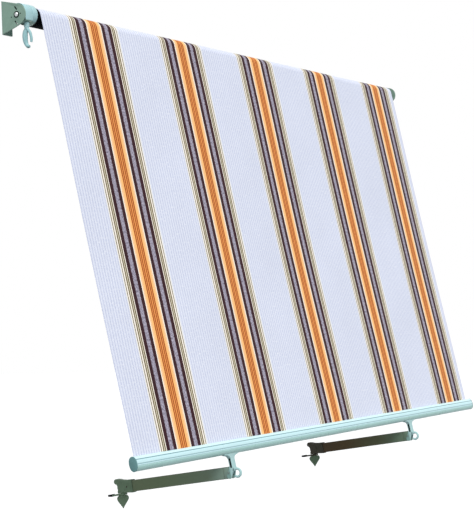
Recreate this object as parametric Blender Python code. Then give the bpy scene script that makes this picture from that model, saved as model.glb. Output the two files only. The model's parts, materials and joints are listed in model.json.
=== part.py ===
"""Roll-up balcony awning: a fabric drop on a roller with a crank gear, a fluted front bar
and two strut arms that end in rail clamps.

Metres, +Z up. The wall is the plane y = 0 and the awning hangs in front of it, towards -Y. X runs along the
roller, from the gear end to the idler end. The origin is the middle of the left bracket's face on the wall.
"""

from math import acos, asin, atan2, cos, hypot, pi, radians, sin, sqrt, tan

import bmesh
import bpy
from mathutils import Matrix, Vector
from mathutils.geometry import convex_hull_2d

# Clearance between pieces that touch or turn on each other
GAP = 0.0003

# Wall brackets, pressed from plate
SPAN = 2.450                # outer face to outer face of the two cheeks
BRACKET_HEIGHT = 0.098
FLANGE_WIDTH = 0.046
PLATE = 0.004
BEND_RADIUS = 0.006
AXIS_FROM_WALL = 0.0578
AXIS_RISE = 0.0032          # roller axis above the bracket's middle
NOSE_RADIUS = 0.031
NOSE_END = radians(245)     # where the round nose turns into the lower edge
LOWER_EDGE_PULL = 0.023     # how far the lower edge keeps each end's direction
FOOT_FALL = radians(15.6)   # slope of the lower edge at the wall
ANCHOR_HOLE_RADIUS = 0.0034
ANCHOR_SPACING = 0.056
CHEEK_SLOT = (0.0032, 0.0125)
CHEEK_SLOT_LEAN = radians(-38)
CHEEK_DOT_RADIUS = 0.0016
CHEEK_MARKS = (0.0028, -0.0025)     # middle of the slots and dots from the roller axis, along Y and Z
CHEEK_SLOT_OUT = 0.0209
CHEEK_DOT_OUT = 0.0170
CHEEK_DOT_TILT = radians(-12)

# Fabric and its drop
GEAR_SIDE = 0.075           # left cheek's outer face to the fabric's edge
IDLER_SIDE = 0.035          # fabric's edge to the right cheek's outer face
FABRIC_THICKNESS = 0.0006
SLOPE = radians(12.0)       # the drop's lean from upright
DROP = 1.3037               # tangent point on the roller to the front bar
KEDER_ANGLE = radians(50)   # where the fabric enters the tube, counted from +Y over the top

# The woven stripes: each group is the same on both sides of its middle, and the groups repeat across the
# width. A row gives the distance from the middle at which a band ends, and the band's colour as seen.
GROUP_PITCH = 0.482
FIRST_GROUP = 0.259         # fabric's left edge to the first group's middle
STRIPES = (
    (0.0022, (229, 172, 120)),
    (0.0068, (184, 104, 47)),
    (0.0112, (213, 138, 80)),
    (0.0156, (184, 104, 47)),
    (0.0293, (249, 195, 144)),
    (0.0395, (234, 205, 184)),
    (0.0546, (60, 39, 47)),
    (0.0746, (157, 152, 168)),
    (0.0896, (60, 39, 47)),
    (0.0952, (231, 221, 205)),
    (0.1010, (134, 120, 95)),
    (0.1040, (190, 180, 158)),
    (0.1103, (134, 120, 95)),
    (0.1166, (231, 224, 211)),
    (0.1196, (149, 136, 114)),
    (0.1259, (231, 224, 211)),
)
GROUND = (216, 221, 236)

# Roller
TUBE_RADIUS = 0.0281
TUBE_WALL = 0.0012
TUBE_OVERHANG = 0.002
KEDER_RADIUS = 0.0028
KEDER_SLOT = 0.0026
PLUG_DEPTH = 0.030
SHAFT_RADIUS = 0.006
SHAFT_START = 0.0075        # left cheek's inner face to the shaft's end
IDLER_PIN_RADIUS = 0.006
IDLER_FACE = 0.004          # the idler plug's face past the tube's end
IDLER_REACH = 0.018         # how far the idler pin enters its plug

# Crank gear
GEAR_TEETH = 11
GEAR_MODULE = 0.002
WORM_PITCH_RADIUS = 0.0062
TOOTH_RISE = 0.7 * GEAR_MODULE
WHEEL_WIDTH = 0.008
WORM_LENGTH = 0.024
WORM_JOURNAL_RADIUS = 0.0035
HOUSING_RADIUS = 0.030
HOUSING_RISE = 0.0035       # the housing's middle above the roller axis
HOUSING_FLOOR = 0.021       # flat underside below the roller axis
HOUSING_END = 0.061         # left cheek's outer face to the end of the gear's cover
COVER_THICKNESS = 0.0235    # a cup, open towards the housing
COVER_WALL = 0.003
HOUSING_CORNER = 0.0025
WORM_FROM_CHEEK = 0.023     # left cheek's outer face to the worm's axis
BOLT_RADIUS = 0.004
BOLT_DEPTH = 0.005          # how far the bolt enters the housing
BOLT_HEAD_RADIUS = 0.0062
BOLT_HEAD_HEIGHT = 0.0026
BOLT_RING_RADIUS = 0.0098
BOLT_RING_THICKNESS = 0.0010

# Crank eye
HUB_RADIUS = 0.008
HUB_LENGTH = 0.018
EYE_PIN_RADIUS = 0.0016
LONG_LIMB = ((0.0005, -0.0360, 0.0050), (0.0018, -0.0420, 0.0062), (0.0055, -0.0500, 0.0073),
             (0.0070, -0.0590, 0.0079), (0.0070, -0.0690, 0.0078), (0.0055, -0.0790, 0.0069),
             (0.0022, -0.0870, 0.0060), (-0.0030, -0.0925, 0.0054), (-0.0078, -0.0930, 0.0044))
SHORT_LIMB = ((0.0000, -0.0370, 0.0045), (-0.0045, -0.0440, 0.0046), (-0.0105, -0.0520, 0.0044),
              (-0.0140, -0.0620, 0.0041), (-0.0155, -0.0720, 0.0040), (-0.0148, -0.0810, 0.0034))

# Front bar, an extrusion
BAR_DEPTH = 0.0425
BAR_THICKNESS = 0.027
BAR_WALL = 0.0019
BAR_ROUNDNESS = 2.2
BAR_OVERHANG_LEFT = 0.008
BAR_OVERHANG_RIGHT = 0.028
FLUTES = (0.0113, -0.0018, -0.0068)     # heights above the oval's middle
FLUTE_WIDTH = 0.0030
FLUTE_DEPTH = 0.0010
GROOVE_SLOT = 0.006
GROOVE_WIDTH = 0.011
GROOVE_HEIGHT = 0.004
CAP_THICKNESS = 0.003
CAP_MARGIN = 0.0005
CAP_PEG = (0.012, 0.013, 0.018)

# Hook brackets under the bar
HOOK_LEFT = 0.498           # fabric's left edge to the left bracket
HOOK_RIGHT = 0.562          # fabric's right edge to the right bracket
HEAD_LENGTH = 0.080
HEAD_LIP = 0.0015
FLARE_HEIGHT = 0.016
STEM_WIDTH = 0.021
STEM_THICKNESS = 0.013
STEM_LENGTH = 0.0453
RECESS = (0.008, 0.0062, 0.031)
EAR_THICKNESS = 0.008
EAR_RADIUS = 0.009
CHEEK_THICKNESS = 0.0022    # outer plates, over the arm's fork
CHEEK_FOOT = (0.0125, 0.0643, 0.009)    # back, down and radius of their round lower end
PIVOT_DOWN = 0.0543
PIVOT_BACK = 0.013
HOOK_DOWN = 0.0593
HOOK_FORWARD = 0.011
HOOK_RADIUS = 0.0122
HOOK_BAR_RADIUS = 0.0040
HOOK_SWEEP = radians(225)

# Strut arms
ARM_HEIGHT = 0.036
ARM_THICKNESS = 0.016
ARM_WALL = 0.0015
ARM_REACH = 0.392           # pivot to the end of the tube
ARM_FALL = radians(7.6)     # below level, towards the wall
FORK_START = 0.0048         # how far the fork stands before the pivot
FORK_CORNER = 0.010
FORK_GAP = 0.0092
FORK_DEPTH = 0.014
PLUG_FACE = 0.020
PLUG_SPIGOT = 0.022
PIVOT_PIN_RADIUS = 0.0025
PIVOT_HEAD_RADIUS = 0.0036
PIVOT_HEAD = 0.0008

# Rail clamps
RAIL_RADIUS = 0.014
RAIL_PAST_ARM = 0.0425      # end of the arm's tube to the rail's middle
RAIL_DROP = 0.002           # rail's middle below the arm's centre line
JAW_WIDTH = 0.022
LOBE = (-0.010, 0.0215, 0.0085)         # the upper lip's round end: its middle and radius
SOCKET_DEPTH = 0.028
SOCKET_WALL = 0.0024
JAW_FLOOR = 0.0162
JAW_BOSS = (-0.028, 0.001, 0.015, 0.0012)  # round boss on each side: its middle, radius and height
LIP_THICKNESS = 0.0062
LIP_TIP_THICKNESS = 0.0020
LIP_TIP_FALL = 0.0015       # the tip's top below the flat that grips
LIP_REACH = 0.032
LIP_HEEL = 0.011
LIP_TIP_WIDTH = 0.010
SCREW_BEHIND = 0.0225       # rail's middle to the screw's axis
SCREW_RADIUS = 0.003
SCREW_DEPTH = 0.020
BOSS_RADIUS = 0.0065
BOSS_HEIGHT = 0.006
LEAF_WIDTH = 0.046
LEAF_HEIGHT = 0.041
LEAF_LEAN = 0.005           # the tip's shift towards the wall
LEAF_FORM = ((0.0, 0.62), (0.06, 0.84), (0.14, 0.96), (0.24, 1.0), (0.36, 0.93), (0.52, 0.72), (0.70, 0.44),
             (0.86, 0.20), (1.0, 0.05))
LEAF_EDGE = 0.0016
LEAF_RIDGE = 0.0085

# Places worked out from the sizes above
LEFT_CHEEK_X = -FLANGE_WIDTH / 2
RIGHT_CHEEK_X = LEFT_CHEEK_X + SPAN
FABRIC_WIDTH = SPAN - GEAR_SIDE - IDLER_SIDE
FABRIC_LEFT_X = LEFT_CHEEK_X + GEAR_SIDE
FABRIC_RIGHT_X = FABRIC_LEFT_X + FABRIC_WIDTH
FABRIC_INNER_RADIUS = TUBE_RADIUS + GAP
FABRIC_OUTER_RADIUS = FABRIC_INNER_RADIUS + FABRIC_THICKNESS
KEDER_CHAMBER_RADIUS = KEDER_RADIUS + 2 * GAP
WHEEL_PITCH_RADIUS = GEAR_MODULE * GEAR_TEETH / 2
WORM_OFFSET = WHEEL_PITCH_RADIUS + WORM_PITCH_RADIUS
WORM_X = LEFT_CHEEK_X + WORM_FROM_CHEEK
HUB_TOP = HOUSING_FLOOR + GAP
CLAMP_FROM_PIVOT = ARM_REACH + RAIL_PAST_ARM

# An outline is drawn in the plane of its first two axes and pulled along the third
ALONG_X = Matrix(((0, 0, 1, 0), (1, 0, 0, 0), (0, 1, 0, 0), (0, 0, 0, 1)))
ALONG_Y = Matrix(((1, 0, 0, 0), (0, 0, -1, 0), (0, 1, 0, 0), (0, 0, 0, 1)))
ALONG_Z = Matrix.Identity(4)

# Paint and plastic: colour as seen, roughness, metallic value
FINISHES = {
    "bracket_paint": ((125, 158, 140), 0.45, 0.0),
    "gear_plastic": ((166, 205, 212), 0.40, 0.0),
    "bright_steel": ((190, 195, 196), 0.30, 1.0),
    "roller_black": ((12, 12, 14), 0.50, 0.0),
    "keder_plastic": ((225, 226, 230), 0.50, 0.0),
    "fabric": ((224, 228, 244), 0.90, 0.0),
    "bar_enamel": ((196, 231, 234), 0.30, 0.0),
    "cap_plastic": ((95, 135, 135), 0.45, 0.0),
    "hook_plastic": ((170, 205, 205), 0.40, 0.0),
    "left_arm_paint": ((90, 105, 88), 0.50, 0.0),
    "right_arm_paint": ((66, 58, 44), 0.50, 0.0),
    "left_clamp_plastic": ((84, 102, 86), 0.50, 0.0),
    "right_clamp_plastic": ((52, 50, 40), 0.50, 0.0),
}


def linear(channel):
    """One colour channel of 0 to 255 as the linear value that a shader takes."""
    value = channel / 255
    return value / 12.92 if value <= 0.04045 else ((value + 0.055) / 1.055) ** 2.4


def paint(name, finish):
    colour, roughness, metallic = FINISHES[finish]
    material = bpy.data.materials.new(name + "_" + finish)
    material.use_nodes = True
    shader = material.node_tree.nodes["Principled BSDF"]
    shader.inputs["Base Color"].default_value = (*(linear(c) for c in colour), 1.0)
    shader.inputs["Roughness"].default_value = roughness
    shader.inputs["Metallic"].default_value = metallic
    material.diffuse_color = (*(linear(c) for c in colour), 1.0)
    if finish == "fabric":
        weave_stripes(material.node_tree, shader)
    return material


def weave_stripes(tree, shader):
    """Colours the fabric by its distance across the width from the nearest stripe group's middle."""
    half_pitch = GROUP_PITCH / 2
    place_on_cloth = tree.nodes.new("ShaderNodeTexCoord")
    across = tree.nodes.new("ShaderNodeSeparateXYZ")
    tree.links.new(place_on_cloth.outputs["Object"], across.inputs[0])
    value = across.outputs["X"]
    for operation, amount in (("SUBTRACT", FABRIC_LEFT_X + FIRST_GROUP), ("PINGPONG", half_pitch),
                              ("DIVIDE", half_pitch)):
        node = tree.nodes.new("ShaderNodeMath")
        node.operation = operation
        node.inputs[1].default_value = amount
        tree.links.new(value, node.inputs[0])
        value = node.outputs[0]
    ramp = tree.nodes.new("ShaderNodeValToRGB")
    ramp.color_ramp.interpolation = "CONSTANT"
    bands = ramp.color_ramp.elements
    bands.remove(bands[1])
    bands[0].position = 0
    bands[0].color = (*(linear(c) for c in STRIPES[0][1]), 1.0)
    next_colours = [colour for _, colour in STRIPES[1:]] + [GROUND]
    for (end, _), colour in zip(STRIPES, next_colours):
        band = bands.new(end / half_pitch)
        band.color = (*(linear(c) for c in colour), 1.0)
    tree.links.new(value, ramp.inputs["Fac"])
    tree.links.new(ramp.outputs["Color"], shader.inputs["Base Color"])


def arc(centre, radius, start, end, steps):
    """Points on a circle from one angle to another, both ends included."""
    turn = (end - start) / steps
    return [(centre[0] + radius * cos(start + turn * i), centre[1] + radius * sin(start + turn * i))
            for i in range(steps + 1)]


def bezier(p0, p1, p2, p3, steps):
    """Points on a cubic curve between p0 and p3, without the two ends."""
    points = []
    for i in range(1, steps):
        t = i / steps
        weights = ((1 - t) ** 3, 3 * t * (1 - t) ** 2, 3 * t * t * (1 - t), t ** 3)
        points.append(tuple(sum(w * p[k] for w, p in zip(weights, (p0, p1, p2, p3))) for k in (0, 1)))
    return points


def prism(loops, start, end, axes=ALONG_X):
    """A closed solid: an outline, with holes where more loops are given, pulled from start to end."""
    bm = bmesh.new()
    edges = []
    for loop in loops:
        ring = [bm.verts.new((a, b, start)) for a, b in loop]
        edges += [bm.edges.new((ring[i - 1], ring[i])) for i in range(len(ring))]
    if len(loops) == 1:
        bm.faces.new(ring)
    else:
        bmesh.ops.triangle_fill(bm, use_beauty=True, edges=edges)
    pulled = bmesh.ops.extrude_face_region(bm, geom=bm.faces[:])
    moved = [v for v in pulled["geom"] if isinstance(v, bmesh.types.BMVert)]
    bmesh.ops.translate(bm, verts=moved, vec=(0, 0, end - start))
    bmesh.ops.transform(bm, matrix=axes, verts=bm.verts[:])
    bmesh.ops.recalc_face_normals(bm, faces=bm.faces[:])
    return bm


def box(low, high):
    bm = bmesh.new()
    bmesh.ops.create_cube(bm, size=1)
    size = Vector(high) - Vector(low)
    middle = (Vector(high) + Vector(low)) / 2
    bmesh.ops.transform(bm, matrix=Matrix.Translation(middle) @ Matrix.Diagonal((*size, 1)),
                        verts=bm.verts[:])
    return bm


def turned(profile, steps, axes=ALONG_Z, place=(0, 0, 0)):
    """A closed solid of revolution about the third axis: profile holds (radius, height) from axis to axis."""
    bm = bmesh.new()
    chain = [bm.verts.new((r, 0, h)) for r, h in profile]
    edges = [bm.edges.new((chain[i], chain[i + 1])) for i in range(len(chain) - 1)]
    bmesh.ops.spin(bm, geom=chain + edges, cent=(0, 0, 0), axis=(0, 0, 1), angle=2 * pi, steps=steps,
                   use_merge=True)
    bmesh.ops.remove_doubles(bm, verts=bm.verts[:], dist=1e-6)
    bmesh.ops.dissolve_limit(bm, angle_limit=radians(0.5), verts=bm.verts[:], edges=bm.edges[:])
    bmesh.ops.transform(bm, matrix=Matrix.Translation(place) @ axes, verts=bm.verts[:])
    bmesh.ops.recalc_face_normals(bm, faces=bm.faces[:])
    return bm


def rod(radius, start, end, steps, axes=ALONG_Z, place=(0, 0, 0)):
    return turned([(0, start), (radius, start), (radius, end), (0, end)], steps, axes, place)


def soften(bm, width, least_angle=radians(40), segments=1):
    """Bevels the edges that are sharper than least_angle."""
    sharp = [e for e in bm.edges if len(e.link_faces) == 2 and e.calc_face_angle() > least_angle]
    bmesh.ops.bevel(bm, geom=sharp, offset=width, offset_type="OFFSET", affect="EDGES", segments=segments,
                    profile=0.5, material=-1, clamp_overlap=True)
    return bm


def mirrored(bm):
    """The same form, left and right swapped."""
    bmesh.ops.scale(bm, vec=(-1, 1, 1), verts=bm.verts[:])
    bmesh.ops.reverse_faces(bm, faces=bm.faces[:])
    return bm


def place(name, bm, parent):
    mesh = bpy.data.meshes.new(name)
    bm.to_mesh(mesh)
    bm.free()
    obj = bpy.data.objects.new(name, mesh)
    bpy.context.scene.collection.objects.link(obj)
    obj.parent = parent
    return obj


def piece(name, bm, finish, parent=None, added=(), cut=(), kept=()):
    """One sub-part. The shapes in added are joined to it, those in cut are taken away, kept limits it."""
    obj = place(name, bm, parent)
    steps = [("UNION", b) for b in added] + [("INTERSECT", b) for b in kept] + [("DIFFERENCE", b) for b in cut]
    for number, (operation, tool_bm) in enumerate(steps):
        tool = place(f"{name}_tool_{number}", tool_bm, parent)
        tool.hide_render = True
        tool.display_type = "WIRE"
        change = obj.modifiers.new(operation.lower(), "BOOLEAN")
        change.operation = operation
        change.solver = "EXACT"
        change.object = tool
    obj.data.materials.append(paint(name, finish))
    obj.data.shade_smooth()
    obj.data.set_sharp_from_angle(angle=radians(35))
    return obj


def frame(name, location, parent=None, tilt=0.0):
    """An empty on a joint's axis, turned about X by tilt."""
    empty = bpy.data.objects.new(name, None)
    empty.empty_display_size = 0.05
    empty.location = location
    empty.rotation_euler = (tilt, 0, 0)
    bpy.context.scene.collection.objects.link(empty)
    empty.parent = parent
    return empty


def bracket_outline():
    """The bracket seen along X: (y, z) from the wall's top corner over the nose to the foot."""
    axis = (-AXIS_FROM_WALL, AXIS_RISE)
    top = (0.0, BRACKET_HEIGHT / 2)
    foot = (0.0, -BRACKET_HEIGHT / 2)
    to_top = (top[0] - axis[0], top[1] - axis[1])
    nose_start = atan2(to_top[1], to_top[0]) + acos(NOSE_RADIUS / hypot(*to_top))
    nose = arc(axis, NOSE_RADIUS, nose_start, NOSE_END, 20)
    leave = (nose[-1][0] - LOWER_EDGE_PULL * sin(NOSE_END), nose[-1][1] + LOWER_EDGE_PULL * cos(NOSE_END))
    arrive = (foot[0] - LOWER_EDGE_PULL * cos(FOOT_FALL), foot[1] + LOWER_EDGE_PULL * sin(FOOT_FALL))
    beyond = 0.001
    under = bezier(nose[-1], leave, arrive, foot, 8)
    return [(beyond, top[1]), top] + nose + under + [foot, (beyond, foot[1])]


def wall_bracket(name, outer_x, mirror):
    """Plate bent once: the flange lies on the wall, and the cheek stands out from it with the roller."""
    half = FLANGE_WIDTH / 2
    depth = AXIS_FROM_WALL + NOSE_RADIUS + 0.001
    bend = (-half + BEND_RADIUS, -BEND_RADIUS)
    section = [(half, 0)]
    section += arc(bend, BEND_RADIUS, radians(90), radians(180), 6)
    section += [(-half, -depth), (-half + PLATE, -depth)]
    section += arc(bend, BEND_RADIUS - PLATE, radians(180), radians(90), 4)
    section += [(half, -PLATE)]
    plate = prism([section], -BRACKET_HEIGHT, BRACKET_HEIGHT, ALONG_Z)
    outline = prism([bracket_outline()], -FLANGE_WIDTH, FLANGE_WIDTH)
    reach = 2 * PLATE
    holes = [rod(BOLT_RADIUS + GAP, -half - reach, -half + reach, 20, ALONG_X,
                 (0, -AXIS_FROM_WALL, AXIS_RISE))]
    marks_y = -AXIS_FROM_WALL + CHEEK_MARKS[0]
    marks_z = AXIS_RISE + CHEEK_MARKS[1]
    for side in (-1, 1):
        slot = box((-reach, -CHEEK_SLOT[0] / 2, -CHEEK_SLOT[1] / 2),
                   (reach, CHEEK_SLOT[0] / 2, CHEEK_SLOT[1] / 2))
        turn = Matrix.Rotation(CHEEK_SLOT_LEAN, 4, "X")
        spot = Matrix.Translation((-half, marks_y, marks_z + side * CHEEK_SLOT_OUT))
        bmesh.ops.transform(slot, matrix=spot @ turn, verts=slot.verts[:])
        holes.append(slot)
        out = side * CHEEK_DOT_OUT
        dot = (0, marks_y + out * cos(CHEEK_DOT_TILT), marks_z + out * sin(CHEEK_DOT_TILT))
        holes.append(rod(CHEEK_DOT_RADIUS, -half - reach, -half + reach, 12, ALONG_X, dot))
        anchor = (0.003, 0, side * ANCHOR_SPACING / 2)
        holes.append(rod(ANCHOR_HOLE_RADIUS, -reach, reach, 16, ALONG_Y, anchor))
    shapes = [plate, outline] + holes
    if mirror:
        shapes = [mirrored(s) for s in shapes]
    shift = Vector((outer_x + (-half if mirror else half), 0, 0))
    for s in shapes:
        bmesh.ops.translate(s, vec=shift, verts=s.verts[:])
    return piece(name, shapes[0], "bracket_paint", kept=shapes[1:2], cut=shapes[2:])


def tube_section():
    """The roller tube's outline with its keder groove, and the hollow inside it, as seen along X."""
    half = KEDER_SLOT / 2
    centre = TUBE_RADIUS - TUBE_WALL - GAP - KEDER_CHAMBER_RADIUS
    bore = TUBE_RADIUS - TUBE_WALL
    cover = KEDER_CHAMBER_RADIUS + TUBE_WALL
    mouth = asin(half / TUBE_RADIUS)
    lip = asin(half / KEDER_CHAMBER_RADIUS)
    outer = arc((0, 0), TUBE_RADIUS, mouth, 2 * pi - mouth, 48)
    outer += arc((centre, 0), KEDER_CHAMBER_RADIUS, -lip, -2 * pi + lip, 16)
    meet = (bore ** 2 - cover ** 2 + centre ** 2) / (2 * centre)
    side = sqrt(bore ** 2 - meet ** 2)
    wall = atan2(side, meet)
    bulge = atan2(side, meet - centre)
    inner = arc((0, 0), bore, wall, 2 * pi - wall, 44)
    inner += arc((centre, 0), cover, -bulge, -2 * pi + bulge, 12)[1:-1]
    turn = Matrix.Rotation(KEDER_ANGLE, 2)
    return [[tuple(turn @ Vector(p)) for p in loop] for loop in (outer, inner)], centre


def roller(parent):
    """The tube, its two plugs and the keder that holds the fabric's top edge."""
    loops, keder_at = tube_section()
    start = FABRIC_LEFT_X - TUBE_OVERHANG
    end = FABRIC_RIGHT_X + TUBE_OVERHANG
    piece("roller_tube", prism(loops, start, end), "roller_black", parent)
    spot = (0, keder_at * cos(KEDER_ANGLE), keder_at * sin(KEDER_ANGLE))
    keder = rod(KEDER_RADIUS, FABRIC_LEFT_X, FABRIC_RIGHT_X, 12, ALONG_X, spot)
    piece("roller_keder_rod", keder, "keder_plastic", parent)

    # A plug's spigot runs inside the tube and clears the keder groove
    spigot = keder_at - KEDER_CHAMBER_RADIUS - TUBE_WALL - GAP
    flange = TUBE_RADIUS - 0.001
    cover_x = LEFT_CHEEK_X + HOUSING_END
    inner_x = LEFT_CHEEK_X + PLATE + GAP + SHAFT_START
    drive = [(0, inner_x), (SHAFT_RADIUS, inner_x), (SHAFT_RADIUS, cover_x + 2 * GAP),
             (flange, cover_x + 2 * GAP), (flange, start - GAP), (spigot, start - GAP),
             (spigot, start + PLUG_DEPTH), (0, start + PLUG_DEPTH)]
    rim = seat_on_tube(start, 1)
    piece("drive_plug", turned(drive, 32, ALONG_X), "roller_black", parent, added=rim)

    pin_bore = IDLER_PIN_RADIUS + GAP
    face = end + IDLER_FACE
    bottom = face - IDLER_REACH - GAP
    idler = [(0, end - PLUG_DEPTH), (spigot, end - PLUG_DEPTH), (spigot, end + GAP), (flange, end + GAP),
             (flange, face), (pin_bore, face), (pin_bore, bottom), (0, bottom)]
    rim = seat_on_tube(end, -1)
    piece("idler_plug", turned(idler, 32, ALONG_X), "roller_black", parent, added=rim)


def seat_on_tube(end_x, inward):
    """Three lands on a plug's spigot that fill the tube's bore beside the keder groove."""
    bore = TUBE_RADIUS - TUBE_WALL - GAP
    lands = []
    for step in (1, 2, 3):
        angle = KEDER_ANGLE + step * pi / 2
        land = box((0, -0.005, 2 * SHAFT_RADIUS), (PLUG_DEPTH - GAP, 0.005, bore - 0.0005))
        bmesh.ops.scale(land, vec=(inward, 1, 1), verts=land.verts[:])
        if inward < 0:
            bmesh.ops.reverse_faces(land, faces=land.faces[:])
        turn = Matrix.Rotation(angle - pi / 2, 4, "X")
        spot = Matrix.Translation((end_x, 0, 0))
        bmesh.ops.transform(land, matrix=spot @ turn, verts=land.verts[:])
        lands.append(land)
    return lands


def worm_wheel(parent):
    """Wheel with straight-flanked teeth, twisted to the worm's lead so that they lie along its thread."""
    tip = WHEEL_PITCH_RADIUS + TOOTH_RISE
    root = WHEEL_PITCH_RADIUS - 1.0 * GEAR_MODULE
    pitch = 2 * pi / GEAR_TEETH
    lead = atan2(GEAR_MODULE, 2 * WORM_PITCH_RADIUS)
    outline = []
    for tooth in range(GEAR_TEETH):
        middle = pi + pitch * tooth
        for angle, radius in ((-0.31, root), (-0.13, tip), (0.13, tip), (0.31, root)):
            turn = middle + angle * pitch
            outline.append((radius * cos(turn), radius * sin(turn)))
    bm = prism([outline], -WHEEL_WIDTH / 2, WHEEL_WIDTH / 2, ALONG_Z)
    bmesh.ops.bisect_plane(bm, geom=bm.verts[:] + bm.edges[:] + bm.faces[:], plane_co=(0, 0, 0),
                           plane_no=(0, 0, 1))
    for vert in bm.verts:
        twist = Matrix.Rotation(vert.co.z * tan(lead) / WHEEL_PITCH_RADIUS, 3, "Z")
        vert.co = twist @ vert.co
    bmesh.ops.transform(bm, matrix=Matrix.Translation((WORM_X, 0, 0)) @ ALONG_X, verts=bm.verts[:])
    bore = rod(SHAFT_RADIUS + GAP, WORM_X - WHEEL_WIDTH, WORM_X + WHEEL_WIDTH, 24, ALONG_X)
    return piece("worm_wheel", bm, "bright_steel", parent, cut=[bore])


def worm_thread():
    """One thread of the worm: a four-cornered section carried up a helix and closed at both ends."""
    root = WORM_PITCH_RADIUS - 1.15 * GEAR_MODULE
    tip = WORM_PITCH_RADIUS + TOOTH_RISE
    pitch = pi * GEAR_MODULE
    turns = (WORM_LENGTH - pitch) / pitch
    per_turn = 16
    steps = round(turns * per_turn)
    bm = bmesh.new()
    section = [(root, -0.27 * pitch), (tip, -0.15 * pitch), (tip, 0.15 * pitch), (root, 0.27 * pitch)]
    last = None
    for i in range(steps + 1):
        angle = 2 * pi * i / per_turn
        rise = pitch * angle / (2 * pi)
        ring = [bm.verts.new((r * cos(angle), r * sin(angle), rise + h)) for r, h in section]
        if last is None:
            bm.faces.new(ring)
        else:
            for k in range(4):
                bm.faces.new((last[k], last[k - 1], ring[k - 1], ring[k]))
        last = ring
    bm.faces.new(list(reversed(last)))
    bmesh.ops.recalc_face_normals(bm, faces=bm.faces[:])
    # On the wheel's side a tooth stands at the axis height, so the thread passes half a pitch from it
    start_turn = -(turns * pitch) / 2
    phase = pi / 2 - 2 * pi * (0.5 - start_turn / pitch)
    place_it = Matrix.Translation((0, 0, start_turn)) @ Matrix.Rotation(phase, 4, "Z")
    bmesh.ops.transform(bm, matrix=place_it, verts=bm.verts[:])
    return bm


def crank(parent):
    """The worm's shaft, and the eye below it that the crank rod hooks into, held by a cross pin."""
    core = WORM_PITCH_RADIUS - 1.0 * GEAR_MODULE
    half = WORM_LENGTH / 2
    top = half + 0.004
    bottom = -HUB_TOP - HUB_LENGTH + 0.004
    profile = [(0, bottom), (WORM_JOURNAL_RADIUS, bottom), (WORM_JOURNAL_RADIUS, -half), (core, -half),
               (core, half), (WORM_JOURNAL_RADIUS, half), (WORM_JOURNAL_RADIUS, top), (0, top)]
    pin_z = -HUB_TOP - HUB_LENGTH / 2
    pin_hole = rod(EYE_PIN_RADIUS + GAP, -HUB_RADIUS, HUB_RADIUS, 12, ALONG_Y, (0, 0, pin_z))
    piece("worm_shaft", turned(profile, 20), "bright_steel", parent, added=[worm_thread()], cut=[pin_hole])

    hub_bottom = -HUB_TOP - HUB_LENGTH
    neck = HUB_RADIUS * 0.72
    socket = WORM_JOURNAL_RADIUS + GAP
    floor = bottom - GAP
    hub = [(0, hub_bottom - 0.006), (neck, hub_bottom - 0.004), (neck, hub_bottom),
           (HUB_RADIUS, hub_bottom + 0.004), (HUB_RADIUS, -HUB_TOP - 0.001), (HUB_RADIUS - 0.001, -HUB_TOP),
           (socket, -HUB_TOP), (socket, floor), (0, floor)]
    pin_hole = rod(EYE_PIN_RADIUS + GAP, -2 * HUB_RADIUS, 2 * HUB_RADIUS, 12, ALONG_Y, (0, 0, pin_z))
    socket_room = rod(socket, floor, -HUB_TOP + GAP, 20)
    limbs = [eye_limb(LONG_LIMB), eye_limb(SHORT_LIMB)]
    piece("crank_eye", turned(hub, 24), "gear_plastic", parent, added=limbs, cut=[pin_hole, socket_room])
    pin_end = HUB_RADIUS - GAP
    piece("crank_eye_pin", rod(EYE_PIN_RADIUS, -pin_end, pin_end, 12, ALONG_Y, (0, 0, pin_z)),
          "bright_steel", parent)


def eye_limb(path):
    """One round limb of the open eye, swept along a smooth line: each row holds y, z and its radius there."""
    curve = bpy.data.curves.new("eye_limb", "CURVE")
    curve.dimensions = "3D"
    curve.bevel_depth = 1.0
    curve.bevel_resolution = 2
    curve.resolution_u = 3
    curve.use_fill_caps = True
    spline = curve.splines.new("BEZIER")
    spline.bezier_points.add(len(path) - 1)
    for point, (y, z, radius) in zip(spline.bezier_points, path):
        point.co = (0, y, z)
        point.radius = radius
        point.handle_left_type = "AUTO"
        point.handle_right_type = "AUTO"
    holder = bpy.data.objects.new("eye_limb", curve)
    bpy.context.scene.collection.objects.link(holder)
    bpy.context.view_layer.update()
    mesh = bpy.data.meshes.new_from_object(holder.evaluated_get(bpy.context.evaluated_depsgraph_get()))
    bpy.data.objects.remove(holder)
    bm = bmesh.new()
    bm.from_mesh(mesh)
    bpy.data.meshes.remove(mesh)
    bmesh.ops.remove_doubles(bm, verts=bm.verts[:], dist=1e-6)
    bmesh.ops.recalc_face_normals(bm, faces=bm.faces[:])
    return bm


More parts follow.
